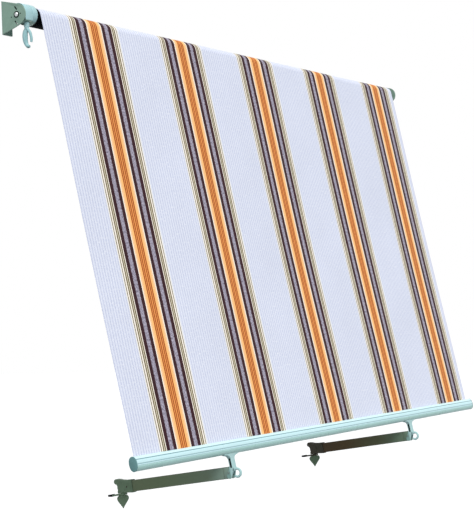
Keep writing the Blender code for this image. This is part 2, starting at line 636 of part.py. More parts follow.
def gear():
    """Housing on the left cheek, the cover at its roller end, and the fixings."""
    axis = (0, -AXIS_FROM_WALL, AXIS_RISE)
    middle = (0, -AXIS_FROM_WALL, AXIS_RISE + HOUSING_RISE)
    start = LEFT_CHEEK_X + PLATE + GAP
    cover_end = LEFT_CHEEK_X + HOUSING_END
    cover_start = cover_end - COVER_THICKNESS
    end = cover_start - GAP
    worm_y = -AXIS_FROM_WALL - WORM_OFFSET
    thread = WORM_PITCH_RADIUS + TOOTH_RISE + 0.0005
    floor = AXIS_RISE - HOUSING_FLOOR

    # Seen along X the housing is round above, flat in front and flat below
    below = floor - middle[2]
    back = asin(below / HOUSING_RADIUS)
    outline = arc(middle[1:], HOUSING_RADIUS, back, pi, 30)
    front = middle[1] - HOUSING_RADIUS
    outline += [(front, floor + HOUSING_CORNER), (front + HOUSING_CORNER, floor)]
    body = soften(prism([outline], start, end), 0.0010, radians(50))
    wheel_room = WHEEL_PITCH_RADIUS + TOOTH_RISE + 0.001
    chamber_start = WORM_X - WHEEL_WIDTH / 2 - 0.001
    journal_start = start + SHAFT_START - GAP
    half = WORM_LENGTH / 2 + 0.0005
    cuts = [
        rod(wheel_room, chamber_start, end + 0.001, 32, ALONG_X, axis),
        rod(SHAFT_RADIUS + GAP, journal_start, chamber_start + 0.001, 24, ALONG_X, axis),
        rod(thread, AXIS_RISE - half, AXIS_RISE + half, 24, ALONG_Z, (WORM_X, worm_y, 0)),
        rod(WORM_JOURNAL_RADIUS + GAP, floor - 0.001, AXIS_RISE + half + 0.0045, 20, ALONG_Z,
            (WORM_X, worm_y, 0)),
        rod(BOLT_RADIUS + GAP, start - 0.001, start + BOLT_DEPTH + GAP, 20, ALONG_X, axis),
    ]
    piece("gear_housing", body, "gear_plastic", cut=cuts)

    rim = HOUSING_RADIUS + 0.0005
    cover = turned([(0, cover_start), (rim, cover_start), (rim, cover_end - 0.002), (rim - 0.002, cover_end),
                    (0, cover_end)], 48, ALONG_X, middle)
    bore = rod(SHAFT_RADIUS + GAP, cover_start - 0.001, cover_end + 0.001, 24, ALONG_X, axis)
    hollow = rod(rim - COVER_WALL, cover_start - 0.001, cover_end - COVER_WALL, 40, ALONG_X, middle)
    notch = box((cover_end - 0.0085, middle[1] - rim - 0.002, middle[2] - 0.001),
                (cover_end - 0.0055, middle[1] - rim + 0.0012, middle[2] + 0.002))
    piece("gear_cover", cover, "gear_plastic", cut=[bore, hollow, notch])

    # The bolt's head stands on a washer face against the cheek
    face = LEFT_CHEEK_X - GAP
    shank_end = start + BOLT_DEPTH
    top = face - BOLT_RING_THICKNESS - BOLT_HEAD_HEIGHT
    head = turned([(0, top), (BOLT_HEAD_RADIUS - 0.0020, top), (BOLT_HEAD_RADIUS, top + 0.0014),
                   (BOLT_HEAD_RADIUS, face - BOLT_RING_THICKNESS),
                   (BOLT_RING_RADIUS, face - BOLT_RING_THICKNESS),
                   (BOLT_RING_RADIUS, face), (BOLT_RADIUS, face), (BOLT_RADIUS, shank_end), (0, shank_end)],
                  28, ALONG_X, axis)
    piece("gear_bolt", head, "bright_steel")


def idler_pin():
    """Shouldered pin, riveted in the right cheek, that the idler plug turns on."""
    axis = (0, -AXIS_FROM_WALL, AXIS_RISE)
    outer = RIGHT_CHEEK_X + GAP
    inner = RIGHT_CHEEK_X - PLATE - GAP
    tip = FABRIC_RIGHT_X + TUBE_OVERHANG + IDLER_FACE - IDLER_REACH
    shoulder = BOLT_HEAD_RADIUS + 0.0015
    profile = [(0, tip), (IDLER_PIN_RADIUS - 0.001, tip), (IDLER_PIN_RADIUS, tip + 0.001),
               (IDLER_PIN_RADIUS, inner - 0.004), (shoulder, inner - 0.004), (shoulder, inner),
               (BOLT_RADIUS, inner),
               (BOLT_RADIUS, outer), (BOLT_RING_RADIUS, outer),
               (BOLT_RING_RADIUS, outer + BOLT_RING_THICKNESS),
               (BOLT_HEAD_RADIUS, outer + BOLT_RING_THICKNESS),
               (BOLT_HEAD_RADIUS, outer + BOLT_RING_THICKNESS + BOLT_HEAD_HEIGHT - 0.0014),
               (BOLT_HEAD_RADIUS - 0.0020, outer + BOLT_RING_THICKNESS + BOLT_HEAD_HEIGHT),
               (0, outer + BOLT_RING_THICKNESS + BOLT_HEAD_HEIGHT)]
    piece("idler_pin", turned(profile, 24, ALONG_X, axis), "bright_steel")


def fabric(parent):
    """The sheet leaves the keder groove, lies over the tube and drops in a plane to the bar's groove."""
    groove = KEDER_ANGLE + 0.5 * FABRIC_THICKNESS / TUBE_RADIUS
    step = FABRIC_THICKNESS / TUBE_RADIUS
    leave = pi - SLOPE
    edge = TUBE_RADIUS - TUBE_WALL
    down = (-sin(SLOPE), -cos(SLOPE))
    reach = DROP + BAR_WALL + GAP
    outer = arc((0, 0), FABRIC_OUTER_RADIUS, groove - step, leave, 20)
    inner = arc((0, 0), FABRIC_INNER_RADIUS, leave, groove, 20)
    outer_end = (outer[-1][0] + down[0] * reach, outer[-1][1] + down[1] * reach)
    inner_end = (inner[0][0] + down[0] * reach, inner[0][1] + down[1] * reach)
    tail = [(edge * cos(groove), edge * sin(groove)), (edge * cos(groove - step), edge * sin(groove - step))]
    section = outer + [outer_end, inner_end] + inner + tail
    piece("fabric", prism([section], FABRIC_LEFT_X, FABRIC_RIGHT_X), "fabric", parent)


def oval(half_thickness, half_depth, height):
    """Half the oval's thickness at a height above its middle."""
    share = min(abs(height) / half_depth, 1.0)
    return half_thickness * (1 - share ** BAR_ROUNDNESS) ** (1 / BAR_ROUNDNESS)


def oval_height(half_thickness, half_depth, offset):
    return half_depth * (1 - (abs(offset) / half_thickness) ** BAR_ROUNDNESS) ** (1 / BAR_ROUNDNESS)


def oval_side(margin, low, high, steps, flutes):
    """One side of the bar's oval from low to high, with its flutes where they are asked for."""
    half_t = BAR_THICKNESS / 2 + margin
    half_d = BAR_DEPTH / 2 + margin
    start = asin(max(-1.0, low / half_d))
    end = asin(min(1.0, high / half_d))
    heights = [half_d * sin(start + (end - start) * i / steps) for i in range(steps + 1)]
    points = [(oval(half_t, half_d, h), h) for h in heights]
    if flutes:
        for centre in FLUTES:
            points = [p for p in points if abs(p[1] - centre) > 0.6 * FLUTE_WIDTH]
            for shift, depth in ((-0.5, 0), (-0.18, FLUTE_DEPTH), (0.18, FLUTE_DEPTH), (0.5, 0)):
                h = centre + shift * FLUTE_WIDTH
                points.append((oval(half_t, half_d, h) - depth, h))
        points.sort(key=lambda p: p[1])
    return points


def bar_section():
    """The bar seen along X: fluted oval, keder chamber above, T groove below, and the hollow between them."""
    half_t = BAR_THICKNESS / 2
    half_d = BAR_DEPTH / 2
    keder_z = half_d - BAR_WALL - KEDER_CHAMBER_RADIUS
    slot = KEDER_SLOT / 2
    top = oval_height(half_t, half_d, slot)
    foot = GROOVE_SLOT / 2
    bottom = -oval_height(half_t, half_d, foot)
    right = oval_side(0, bottom, top, 26, True)
    right[0] = (foot, bottom)
    right[-1] = (slot, top)
    left = [(-y, z) for y, z in reversed(right)]
    lip = asin(slot / KEDER_CHAMBER_RADIUS)
    chamber = arc((0, keder_z), KEDER_CHAMBER_RADIUS, pi / 2 - lip, -3 * pi / 2 + lip, 14)
    groove_low = -half_d + BAR_WALL + 0.0004
    groove_high = groove_low + GROOVE_HEIGHT
    wide = GROOVE_WIDTH / 2
    groove = [(-foot, groove_low), (-wide, groove_low), (-wide, groove_high), (wide, groove_high),
              (wide, groove_low), (foot, groove_low)]
    outer = right + chamber + left + groove
    hollow_low = groove_high + BAR_WALL
    hollow = oval_side(-BAR_WALL, hollow_low, keder_z, 16, False)
    guard = KEDER_CHAMBER_RADIUS + BAR_WALL
    hollow += arc((0, keder_z), guard, 0, -pi, 12)
    hollow += [(-y, z) for y, z in reversed(oval_side(-BAR_WALL, hollow_low, keder_z, 16, False))]
    return [outer, hollow], keder_z, groove_low


def bar_cap(name, start, inward, parent):
    """Moulded oval lid with one peg that stands inside the bar's hollow."""
    half_d = BAR_DEPTH / 2 + CAP_MARGIN
    side = oval_side(CAP_MARGIN, -half_d, half_d, 24, False)
    outline = side + [(-y, z) for y, z in reversed(side)][1:-1]
    lid = soften(prism([outline], 0, CAP_THICKNESS), 0.0007)
    peg = box((-CAP_PEG[0], -CAP_PEG[1] / 2, -CAP_PEG[2] * 0.6), (0.001, CAP_PEG[1] / 2, CAP_PEG[2] * 0.4))
    for bm in (lid, peg):
        if inward > 0:
            mirrored(bm)
        bmesh.ops.translate(bm, vec=(start, 0, 0), verts=bm.verts[:])
    piece(name, lid, "cap_plastic", parent, added=[peg])


def front_bar(parent):
    """Fluted hollow extrusion; its frame has Z up along the drop and the middle of the oval at 0."""
    loops, keder_z, groove_low = bar_section()
    start = FABRIC_LEFT_X - BAR_OVERHANG_LEFT
    end = FABRIC_RIGHT_X + BAR_OVERHANG_RIGHT
    piece("front_bar", prism(loops, start, end), "bar_enamel", parent)
    keder = rod(KEDER_RADIUS, FABRIC_LEFT_X, FABRIC_RIGHT_X, 12, ALONG_X, (0, 0, keder_z))
    piece("bar_keder_rod", keder, "keder_plastic", parent)
    bar_cap("front_bar_cap_left", start - GAP, 1, parent)
    bar_cap("front_bar_cap_right", end + GAP, -1, parent)
    return groove_low


def hook_bracket(name, groove_low, parent):
    """One moulding: a foot in the bar's groove, a flared head, a stem, a C-hook in front and an ear behind.

    Its frame has the bar's middle at 0, with Z up along the drop and -Y to the front."""
    base = -BAR_DEPTH / 2
    half_head = HEAD_LENGTH / 2
    half_stem = STEM_WIDTH / 2
    run = half_head - half_stem
    rise = FLARE_HEIGHT - HEAD_LIP
    flare = []
    for i in range(9):
        turn = radians(90 * i / 8)
        flare.append((half_head - run * sin(turn), base - FLARE_HEIGHT + rise * cos(turn)))
    right = [(half_head, base + 0.004)] + flare + [(half_stem, base - STEM_LENGTH)]
    outline = right + [(-x, z) for x, z in reversed(right)]
    head = soften(prism([outline], -STEM_THICKNESS / 2, STEM_THICKNESS / 2, ALONG_Y), 0.0012, radians(60))

    # The head is hollowed to the bar's round underside
    half_d = BAR_DEPTH / 2 + GAP
    side = oval_side(GAP, -half_d, half_d, 24, False)
    seat = prism([side + [(-y, z) for y, z in reversed(side)][1:-1]], -HEAD_LENGTH, HEAD_LENGTH)

    foot_half = half_head - 0.004
    neck = box((-foot_half, -GROOVE_SLOT / 2 + GAP, base - 0.003),
               (foot_half, GROOVE_SLOT / 2 - GAP, groove_low + 0.001))
    wing = box((-foot_half, -GROOVE_WIDTH / 2 + GAP, groove_low + GAP),
               (foot_half, GROOVE_WIDTH / 2 - GAP, groove_low + GROOVE_HEIGHT - GAP))

    # Ear: a plate that reaches back from the stem to the arm's pivot
    pivot = (PIVOT_BACK, base - PIVOT_DOWN)
    hull = [(-STEM_THICKNESS / 2, base - STEM_LENGTH + 0.006),
            (STEM_THICKNESS / 2, base - STEM_LENGTH + 0.006)]
    hull += arc(pivot, EAR_RADIUS, 0, 2 * pi * 23 / 24, 23)
    ear = prism([[hull[i] for i in convex_hull_2d(hull)]], -EAR_THICKNESS / 2, EAR_THICKNESS / 2)

    # Two outer cheeks run down from the stem over the arm's fork and end round below it
    foot = (CHEEK_FOOT[0], base - CHEEK_FOOT[1])
    hull = [(-STEM_THICKNESS / 2, base - STEM_LENGTH + 0.008),
            (STEM_THICKNESS / 2, base - STEM_LENGTH + 0.008)]
    hull += arc(foot, CHEEK_FOOT[2], 0, 2 * pi * 17 / 18, 17)
    outline = [hull[i] for i in convex_hull_2d(hull)]
    inner = ARM_THICKNESS / 2 + GAP
    cheeks = [prism([outline], side * inner, side * (inner + CHEEK_THICKNESS)) for side in (-1, 1)]

    # C-hook: a round bar spun about its own middle, with its root inside the stem
    ring = (-HOOK_FORWARD, base - HOOK_DOWN)
    hook = bmesh.new()
    bmesh.ops.create_circle(hook, cap_ends=True, segments=10, radius=HOOK_BAR_RADIUS)
    stand = Matrix.Translation((0, ring[0], ring[1] + HOOK_RADIUS)) @ Matrix.Rotation(radians(90), 4, "X")
    bmesh.ops.transform(hook, matrix=stand, verts=hook.verts[:])
    around = (0, ring[0], ring[1])
    bmesh.ops.rotate(hook, verts=hook.verts[:], cent=around, matrix=Matrix.Rotation(radians(-50), 3, "X"))
    bmesh.ops.spin(hook, geom=hook.faces[:], cent=around, axis=(1, 0, 0), angle=HOOK_SWEEP + radians(50),
                   steps=18)
    bmesh.ops.recalc_face_normals(hook, faces=hook.faces[:])

    stem_foot = base - STEM_LENGTH
    root = box((-HOOK_BAR_RADIUS, -0.0062, stem_foot - 0.0035), (HOOK_BAR_RADIUS, 0.0050, stem_foot + 0.002))
    recess = box((-half_stem - 0.001, -RECESS[1] / 2, stem_foot + 0.004),
                 (-half_stem + RECESS[0], RECESS[1] / 2, stem_foot + 0.004 + RECESS[2]))
    pin = rod(PIVOT_PIN_RADIUS + GAP, -STEM_WIDTH, STEM_WIDTH, 16, ALONG_X, (0, *pivot))
    piece(name, head, "hook_plastic", parent, added=[ear, *cheeks, root, hook, neck, wing],
          cut=[seat, recess, pin])


def arm(side, parent):
    """Strut arm; its frame has the pivot at 0 and +Y along the arm, towards the wall."""
    paint_name = side + "_arm_paint"
    half_h = ARM_HEIGHT / 2
    half_t = ARM_THICKNESS / 2
    tube = prism([rounded(half_t, half_h, 0.002), rounded(half_t - ARM_WALL, half_h - ARM_WALL, 0.0008)],
                 -ARM_REACH, -PLUG_FACE - GAP, ALONG_Y)
    piece("arm_tube_" + side, tube, paint_name, parent)

    # Forked plug: two cheeks beside the ear, a solid face and a spigot in the tube
    corner = FORK_CORNER
    fork = arc((-FORK_START + corner, half_h - corner), corner, pi, pi / 2, 5)
    fork = [(PLUG_FACE, half_h)] + list(reversed(fork))
    fork += arc((-FORK_START + corner, -half_h + corner), corner, pi, 3 * pi / 2, 5) + [(PLUG_FACE, -half_h)]
    body = soften(prism([fork], -half_t, half_t), 0.0008, radians(60))
    inside = half_h - ARM_WALL - GAP
    across = half_t - ARM_WALL - GAP
    spigot = box((-across, PLUG_FACE - 0.001, -inside), (across, PLUG_FACE + PLUG_SPIGOT, inside))
    gap = box((-FORK_GAP / 2, -FORK_START - 0.001, -half_h - 0.001),
              (FORK_GAP / 2, FORK_DEPTH, half_h + 0.001))
    hole = rod(PIVOT_PIN_RADIUS + GAP, -ARM_THICKNESS, ARM_THICKNESS, 16, ALONG_X)
    piece("arm_plug_" + side, body, paint_name, parent, added=[spigot], cut=[gap, hole])
    head = half_t + 2 * GAP + CHEEK_THICKNESS
    pin = turned([(0, -head - PIVOT_HEAD), (PIVOT_HEAD_RADIUS, -head - PIVOT_HEAD),
                  (PIVOT_HEAD_RADIUS, -head),
                  (PIVOT_PIN_RADIUS, -head), (PIVOT_PIN_RADIUS, head), (PIVOT_HEAD_RADIUS, head),
                  (PIVOT_HEAD_RADIUS, head + PIVOT_HEAD), (0, head + PIVOT_HEAD)], 16, ALONG_X)
    piece("arm_pivot_pin_" + side, pin, "bright_steel", parent)


def rounded(half_a, half_b, radius, steps=3):
    """A rectangle's outline with round corners."""
    points = []
    for a, b, start in ((1, 1, 0), (-1, 1, pi / 2), (-1, -1, pi), (1, -1, 3 * pi / 2)):
        centre = (a * (half_a - radius), b * (half_b - radius))
        points += arc(centre, radius, start, start + pi / 2, steps)
    return points


def rail_jaw(side, parent):
    """Fixed jaw with a socket for the arm's end; its frame has the rail's middle at 0 and +Y to the wall."""
    back = -RAIL_PAST_ARM - SOCKET_DEPTH
    arm_z = RAIL_DROP
    half_socket = ARM_HEIGHT / 2 + GAP + SOCKET_WALL
    top = arm_z + half_socket
    outline = [(back, top), (back + SOCKET_DEPTH, top + 0.0008), (-0.028, top + 0.0030),
               (-0.020, top + 0.0060)]
    outline += arc(LOBE[:2], LOBE[2], radians(105), radians(-95), 12)
    outline += arc((0, 0), RAIL_RADIUS, radians(137), radians(222), 9)
    outline += [(-0.0115, -JAW_FLOOR), (-0.044, -JAW_FLOOR), (back, arm_z - half_socket)]
    half = ARM_THICKNESS / 2 + GAP + SOCKET_WALL
    body = soften(prism([outline], -half, half), 0.0014, radians(50))
    socket = box((-ARM_THICKNESS / 2 - GAP, back - 0.001, arm_z - ARM_HEIGHT / 2 - GAP),
                 (ARM_THICKNESS / 2 + GAP, -RAIL_PAST_ARM + GAP, arm_z + ARM_HEIGHT / 2 + GAP))
    hole = rod(SCREW_RADIUS + GAP, -JAW_FLOOR - 0.002, -JAW_FLOOR + SCREW_DEPTH, 16, ALONG_Z,
               (0, -SCREW_BEHIND, 0))
    boss_half = half + JAW_BOSS[3]
    boss = soften(rod(JAW_BOSS[2], -boss_half, boss_half, 24, ALONG_X, (0, JAW_BOSS[0], JAW_BOSS[1])), 0.0006)
    piece("rail_jaw_" + side, body, side + "_clamp_plastic", parent, added=[boss], cut=[socket, hole])


def rail_lip(side, parent):
    """Moving jaw: a tongue under the rail, lifted by the screw. Its frame is the rail jaw's."""
    half = JAW_WIDTH / 2
    tip = LIP_TIP_WIDTH / 2
    heel = -SCREW_BEHIND - LIP_HEEL
    plan = [(-half, heel), (half, heel), (half, -0.002)]
    plan += arc((0, LIP_REACH - tip), tip, 0, pi, 8) + [(-half, -0.002)]
    top = -JAW_FLOOR - GAP
    under = top - LIP_THICKNESS
    tip_top = top - LIP_TIP_FALL
    profile = [(heel, top), (LIP_REACH, tip_top), (LIP_REACH, tip_top - LIP_TIP_THICKNESS), (0.002, under),
               (heel, under)]
    wedge = soften(prism([profile], -half, half), 0.0006, radians(50))
    outline = prism([plan], under - 0.001, top + 0.001, ALONG_Z)
    hole = rod(SCREW_RADIUS + GAP, under - 0.001, top + 0.001, 16, ALONG_Z, (0, -SCREW_BEHIND, 0))
    piece("rail_lip_" + side, wedge, side + "_clamp_plastic", parent, kept=[outline], cut=[hole])


def thumb_screw(side, parent):
    """Leaf-shaped wing on a screw; its frame stands on the screw's axis at the rail's height."""
    under = -JAW_FLOOR - 2 * GAP - LIP_THICKNESS
    bm = bmesh.new()
    loops = []
    for share, form in LEAF_FORM:
        z = under - LEAF_HEIGHT * share
        wide = LEAF_WIDTH / 2 * form
        lean = LEAF_LEAN * share
        thick = LEAF_EDGE / 2
        ridge = LEAF_RIDGE / 2 * (1 - 0.75 * share)
        ring = ((-thick, wide), (-ridge, 0), (-thick, -wide), (thick, -wide), (ridge, 0), (thick, wide))
        loops.append([bm.verts.new((x, lean + y, z)) for x, y in ring])
    for upper, lower in zip(loops, loops[1:]):
        for k in range(6):
            bm.faces.new((upper[k - 1], upper[k], lower[k], lower[k - 1]))
    bm.faces.new(loops[0])
    bm.faces.new(list(reversed(loops[-1])))
    bmesh.ops.recalc_face_normals(bm, faces=bm.faces[:])
    shank_top = -JAW_FLOOR + SCREW_DEPTH - 0.001
    screw = turned([(0, under - BOSS_HEIGHT), (BOSS_RADIUS * 0.8, under - BOSS_HEIGHT),
                    (BOSS_RADIUS, under - 0.002),
                    (BOSS_RADIUS, under), (SCREW_RADIUS, under), (SCREW_RADIUS, shank_top), (0, shank_top)],
                    20)
    piece("thumb_screw_" + side, bm, side + "_clamp_plastic", parent, added=[screw])


def strut(side, x, groove_low, bar_frame):
    """Hook bracket, arm and rail clamp, each in the frame of the piece that carries it."""
    hook = frame("hook_slide_" + side, (x, 0, 0), bar_frame)
    hook_bracket("hook_bracket_" + side, groove_low, hook)
    pivot = (0, PIVOT_BACK, -BAR_DEPTH / 2 - PIVOT_DOWN)
    arm_frame = frame("arm_pivot_" + side, pivot, hook, SLOPE - ARM_FALL)
    arm(side, arm_frame)
    clamp = frame("rail_clamp_" + side, (0, CLAMP_FROM_PIVOT, -RAIL_DROP), arm_frame)
    rail_jaw(side, clamp)
    rail_lip(side, clamp)
    screw = frame("screw_axis_" + side, (0, -SCREW_BEHIND, 0), clamp)
    thumb_screw(side, screw)


def build():
    for obj in list(bpy.data.objects):
        bpy.data.objects.remove(obj)
    wall_bracket("wall_bracket_left", LEFT_CHEEK_X, False)
    wall_bracket("wall_bracket_right", RIGHT_CHEEK_X, True)
    gear()
    idler_pin()

    axis = frame("roller_axis", (0, -AXIS_FROM_WALL, AXIS_RISE))
    roller(axis)
    worm_wheel(axis)
    fabric(axis)
    crank(frame("crank_axis", (WORM_X, -AXIS_FROM_WALL - WORM_OFFSET, AXIS_RISE)))

    # The bar hangs in line with the middle of the fabric's thickness
    leave = (FABRIC_INNER_RADIUS + FABRIC_OUTER_RADIUS) / 2
    along = DROP + BAR_DEPTH / 2
    bar_y = -AXIS_FROM_WALL - leave * cos(SLOPE) - along * sin(SLOPE)
    bar_z = AXIS_RISE + leave * sin(SLOPE) - along * cos(SLOPE)
    bar_frame = frame("bar_slide", (0, bar_y, bar_z), tilt=-SLOPE)
    groove_low = front_bar(bar_frame)
    strut("left", FABRIC_LEFT_X + HOOK_LEFT, groove_low, bar_frame)
    strut("right", FABRIC_RIGHT_X - HOOK_RIGHT, groove_low, bar_frame)
    bpy.context.view_layer.update()


build()
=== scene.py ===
# %% [markdown]
# # A roll-up awning, dressed in Blender
#
# A drop awning is a sheet of striped cloth that winds on a roller between two brackets on the wall. A crank
# turns a worm gear at one end, a fluted bar weighs the lower edge, and two strut arms under the bar clamp on
# a railing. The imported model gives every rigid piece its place, in metres, with the wall at y = 0 and the
# roller along X. This lesson adds what a solid can't show: woven cloth, paint, moulded plastic and light.

import json
from math import cos, pi, radians, sin, tau

import bmesh
import bpy
from mathutils import Matrix, Vector
from mathutils.bvhtree import BVHTree


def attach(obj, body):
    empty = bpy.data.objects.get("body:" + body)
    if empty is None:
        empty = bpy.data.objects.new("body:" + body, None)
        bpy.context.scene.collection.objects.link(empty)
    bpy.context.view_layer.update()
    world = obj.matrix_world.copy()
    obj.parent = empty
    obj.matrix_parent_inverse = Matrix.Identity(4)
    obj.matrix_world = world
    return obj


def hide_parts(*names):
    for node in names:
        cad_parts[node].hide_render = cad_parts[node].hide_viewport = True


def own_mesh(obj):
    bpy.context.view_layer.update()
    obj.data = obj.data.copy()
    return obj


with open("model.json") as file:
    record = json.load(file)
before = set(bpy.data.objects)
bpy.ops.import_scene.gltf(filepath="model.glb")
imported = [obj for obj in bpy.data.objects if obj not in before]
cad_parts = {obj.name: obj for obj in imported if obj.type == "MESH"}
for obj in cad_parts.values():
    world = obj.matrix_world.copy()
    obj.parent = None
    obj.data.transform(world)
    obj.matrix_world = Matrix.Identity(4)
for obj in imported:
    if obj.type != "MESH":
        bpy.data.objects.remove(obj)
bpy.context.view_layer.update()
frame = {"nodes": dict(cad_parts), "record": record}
nodes = frame["nodes"]
scene = bpy.context.scene

# %% [markdown]
# ## Camera
#
# The camera stands far to the left of the awning, below the roller, and looks along it. That was solved
# from the four corners of the cloth and the ends of the bar: edges that are level on the real object run to
# one vanishing point, which gives the direction, and the known width gives the distance. A long lens at a
# distance keeps the far end from shrinking too much. The camera is also rolled by two degrees. The picture
# is taller than it is wide, so the sensor's 36 mm lie along its height.

# %% Place the camera
PHOTO_HEIGHT = 510
FOCAL_PIXELS = 1589.0
SENSOR = 36
AZIMUTH = radians(58.87)
ELEVATION = radians(2.02)
ROLL = radians(2.28)
CAMERA_PLACE = (-3.591, -2.9193, -0.8728)

forward = Vector((sin(AZIMUTH) * cos(ELEVATION), cos(AZIMUTH) * cos(ELEVATION), sin(ELEVATION)))
level = Vector((cos(AZIMUTH), -sin(AZIMUTH), 0))
down = forward.cross(level)
right_axis = cos(ROLL) * level + sin(ROLL) * down
down_axis = cos(ROLL) * down - sin(ROLL) * level

camera_data = bpy.data.cameras.new("camera")
camera_data.sensor_width = SENSOR
camera_data.lens = FOCAL_PIXELS * SENSOR / PHOTO_HEIGHT
camera_data.clip_end = 100
camera = bpy.data.objects.new("camera", camera_data)
turn = Matrix((right_axis, -down_axis, -forward)).transposed().to_4x4()
camera.matrix_world = Matrix.Translation(CAMERA_PLACE) @ turn
scene.collection.objects.link(camera)
scene.camera = camera
print("lens", round(camera_data.lens, 1), "mm")

# %% [markdown]
# ## Tools for materials
#
# Materials here are small node trees. A helper that makes a node, sets its plain values and joins its inputs
# keeps each material readable. Colours are written as they look on screen and turned into the linear values
# that a shader takes.

# %% Node helpers
def seen(red, green, blue):
    """A colour as it looks on screen, 0 to 255, as the linear value for a shader."""
    channels = []
    for value in (red / 255, green / 255, blue / 255):
        channels.append(value / 12.92 if value <= 0.04045 else ((value + 0.055) / 1.055) ** 2.4)
    return (*channels, 1.0)


def feed(tree, socket, source):
    """Joins a socket to another socket, or sets it to a plain value."""
    if isinstance(source, bpy.types.NodeSocket):
        tree.links.new(source, socket)
    else:
        socket.default_value = source


def add(tree, kind, join=None, **values):
    """A node in a tree: values are set on the node itself, and join maps its sockets to what feeds them."""
    node = tree.nodes.new("ShaderNode" + kind)
    for name, value in values.items():
        setattr(node, name, value)
    for socket, source in (join or {}).items():
        feed(tree, node.inputs[socket], source)
    return node


def compute(tree, operation, a, b=0.0, c=0.0):
    return add(tree, "Math", {0: a, 1: b, 2: c}, operation=operation).outputs[0]


def rescale(tree, value, start, end, low=0.0, high=1.0):
    """Turns a value that runs from start to end into one from low to high, held there beyond both ends."""
    return add(tree, "MapRange", {0: value, 1: start, 2: end, 3: low, 4: high}).outputs[0]


def mix(tree, factor, a, b, blend="MIX"):
    """One colour over another by a factor. The sockets of a colour mix are the node's 0, 6 and 7."""
    node = add(tree, "Mix", data_type="RGBA", blend_type=blend)
    for index, source in ((0, factor), (6, a), (7, b)):
        feed(tree, node.inputs[index], source)
    return node.outputs[2]


def material(name, **values):
    """A material with its shader's plain values set; returns it with its tree and the shader."""
    made = bpy.data.materials.new(name)
    made.use_nodes = True
    shader = made.node_tree.nodes["Principled BSDF"]
    for socket, value in values.items():
        shader.inputs[socket.replace("_", " ")].default_value = value
    return made, made.node_tree, shader


print("node helpers ready")

# %% [markdown]
# ## Shader groups
#
# Cloth, paint and plastic share effects such as dust and worn edges. Each effect is built once, as a group
# with named sockets, and a material then places it with its own values. A change to the effect then reaches
# every material at once.

# %% Group helpers
def group(name, inputs, outputs):
    """An empty shader group with named sockets: (name, socket kind, default)."""
    tree = bpy.data.node_groups.new(name, "ShaderNodeTree")
    for socket, kind, default in inputs:
        made = tree.interface.new_socket(socket, in_out="INPUT", socket_type="NodeSocket" + kind)
        made.default_value = default
    for socket, kind in outputs:
        tree.interface.new_socket(socket, in_out="OUTPUT", socket_type="NodeSocket" + kind)
    return tree, tree.nodes.new("NodeGroupInput").outputs, tree.nodes.new("NodeGroupOutput").inputs


def use(tree, made, **inputs):
    """Places a group in a material and sets or joins its inputs."""
    node = add(tree, "Group", node_tree=made)
    for name, source in inputs.items():
        feed(tree, node.inputs[name.replace("_", " ")], source)
    return node.outputs


print("group helpers ready")

# %% [markdown]
# ## From bmesh to object
#
# Every piece is shaped as a bmesh, in the place where it stays, and then becomes an object at the origin
# with one material. Patterns that read Object coordinates then fit from one piece to the next.

# %% Piece helper
def finish_piece(name, bm, finish):
    """Turns a bmesh into an object at the origin with one material."""
    mesh = bpy.data.meshes.new(name)
    bm.to_mesh(mesh)
    bm.free()
    mesh.materials.append(finish)
    piece = bpy.data.objects.new(name, mesh)
    scene.collection.objects.link(piece)
    return piece


print("piece helper ready")

# %% [markdown]
# ## A white room that lights softly
#
# An outdoor product is easiest to read in soft light that still has a direction. The world is brighter above
# than below, so undersides turn darker. The background should be plain white all the same, and that is done
# without more light on the awning: a ray from the camera, or one that a shiny surface mirrors or a clear one
# passes, meets a white world, and every other ray meets the softer one.

# %% Build the world
SKY_COLOUR = (0.93, 0.96, 1.0, 1)
LOW_SKY, HIGH_SKY = -0.35, 0.45
LOW_STRENGTH, HIGH_STRENGTH = 0.26, 0.70


def split_by_ray(tree, lighting, background, output):
    """Joins two shaders to the output: background for rays that show it, and lighting for all others."""
    path = add(tree, "LightPath").outputs
    showing = compute(tree, "MAXIMUM", path["Is Camera Ray"], path["Is Glossy Ray"])
    showing = compute(tree, "MAXIMUM", showing, path["Is Transmission Ray"])
    chosen = add(tree, "MixShader", {0: showing, 1: lighting, 2: background})
    tree.links.new(chosen.outputs[0], tree.nodes[output].inputs["Surface"])


world = bpy.data.worlds.new("studio")
world.use_nodes = True
scene.world = world
tree = world.node_tree
facing = add(tree, "SeparateXYZ", {0: add(tree, "TexCoord").outputs["Generated"]}).outputs["Z"]
strength = rescale(tree, facing, LOW_SKY, HIGH_SKY, LOW_STRENGTH, HIGH_STRENGTH)
sky = add(tree, "Background", {"Color": SKY_COLOUR, "Strength": strength})
white = add(tree, "Background", {"Color": (1, 1, 1, 1)})
split_by_ray(tree, sky.outputs[0], white.outputs[0], "World Output")
print("sky strength", LOW_STRENGTH, "to", HIGH_STRENGTH)

# %% [markdown]
# ## Floor
#
# The floor lies well below the awning, as a wall-hung piece has nothing right under it. It is white where it
# shows, and still takes the awning's shadow. To the rays that carry light it is a mid grey, which keeps it
# from lighting the undersides of the bar and the arms.

# %% Lay the floor
FLOOR_HEIGHT = -2.4
FLOOR_MIDDLE = 1.2
FLOOR_SIZE = 30

floor_finish, tree, shader = material("pale_floor", Base_Color=(0.30, 0.31, 0.32, 1), Roughness=0.9)
white = add(tree, "BsdfDiffuse", {"Color": (0.92, 0.92, 0.92, 1)})
split_by_ray(tree, shader.outputs[0], white.outputs[0], "Material Output")

floor_bm = bmesh.new()
bmesh.ops.create_grid(floor_bm, x_segments=1, y_segments=1, size=FLOOR_SIZE)
bmesh.ops.translate(floor_bm, verts=floor_bm.verts[:], vec=(FLOOR_MIDDLE, 0, FLOOR_HEIGHT))
floor = finish_piece("floor", floor_bm, floor_finish)
print("floor at", FLOOR_HEIGHT)

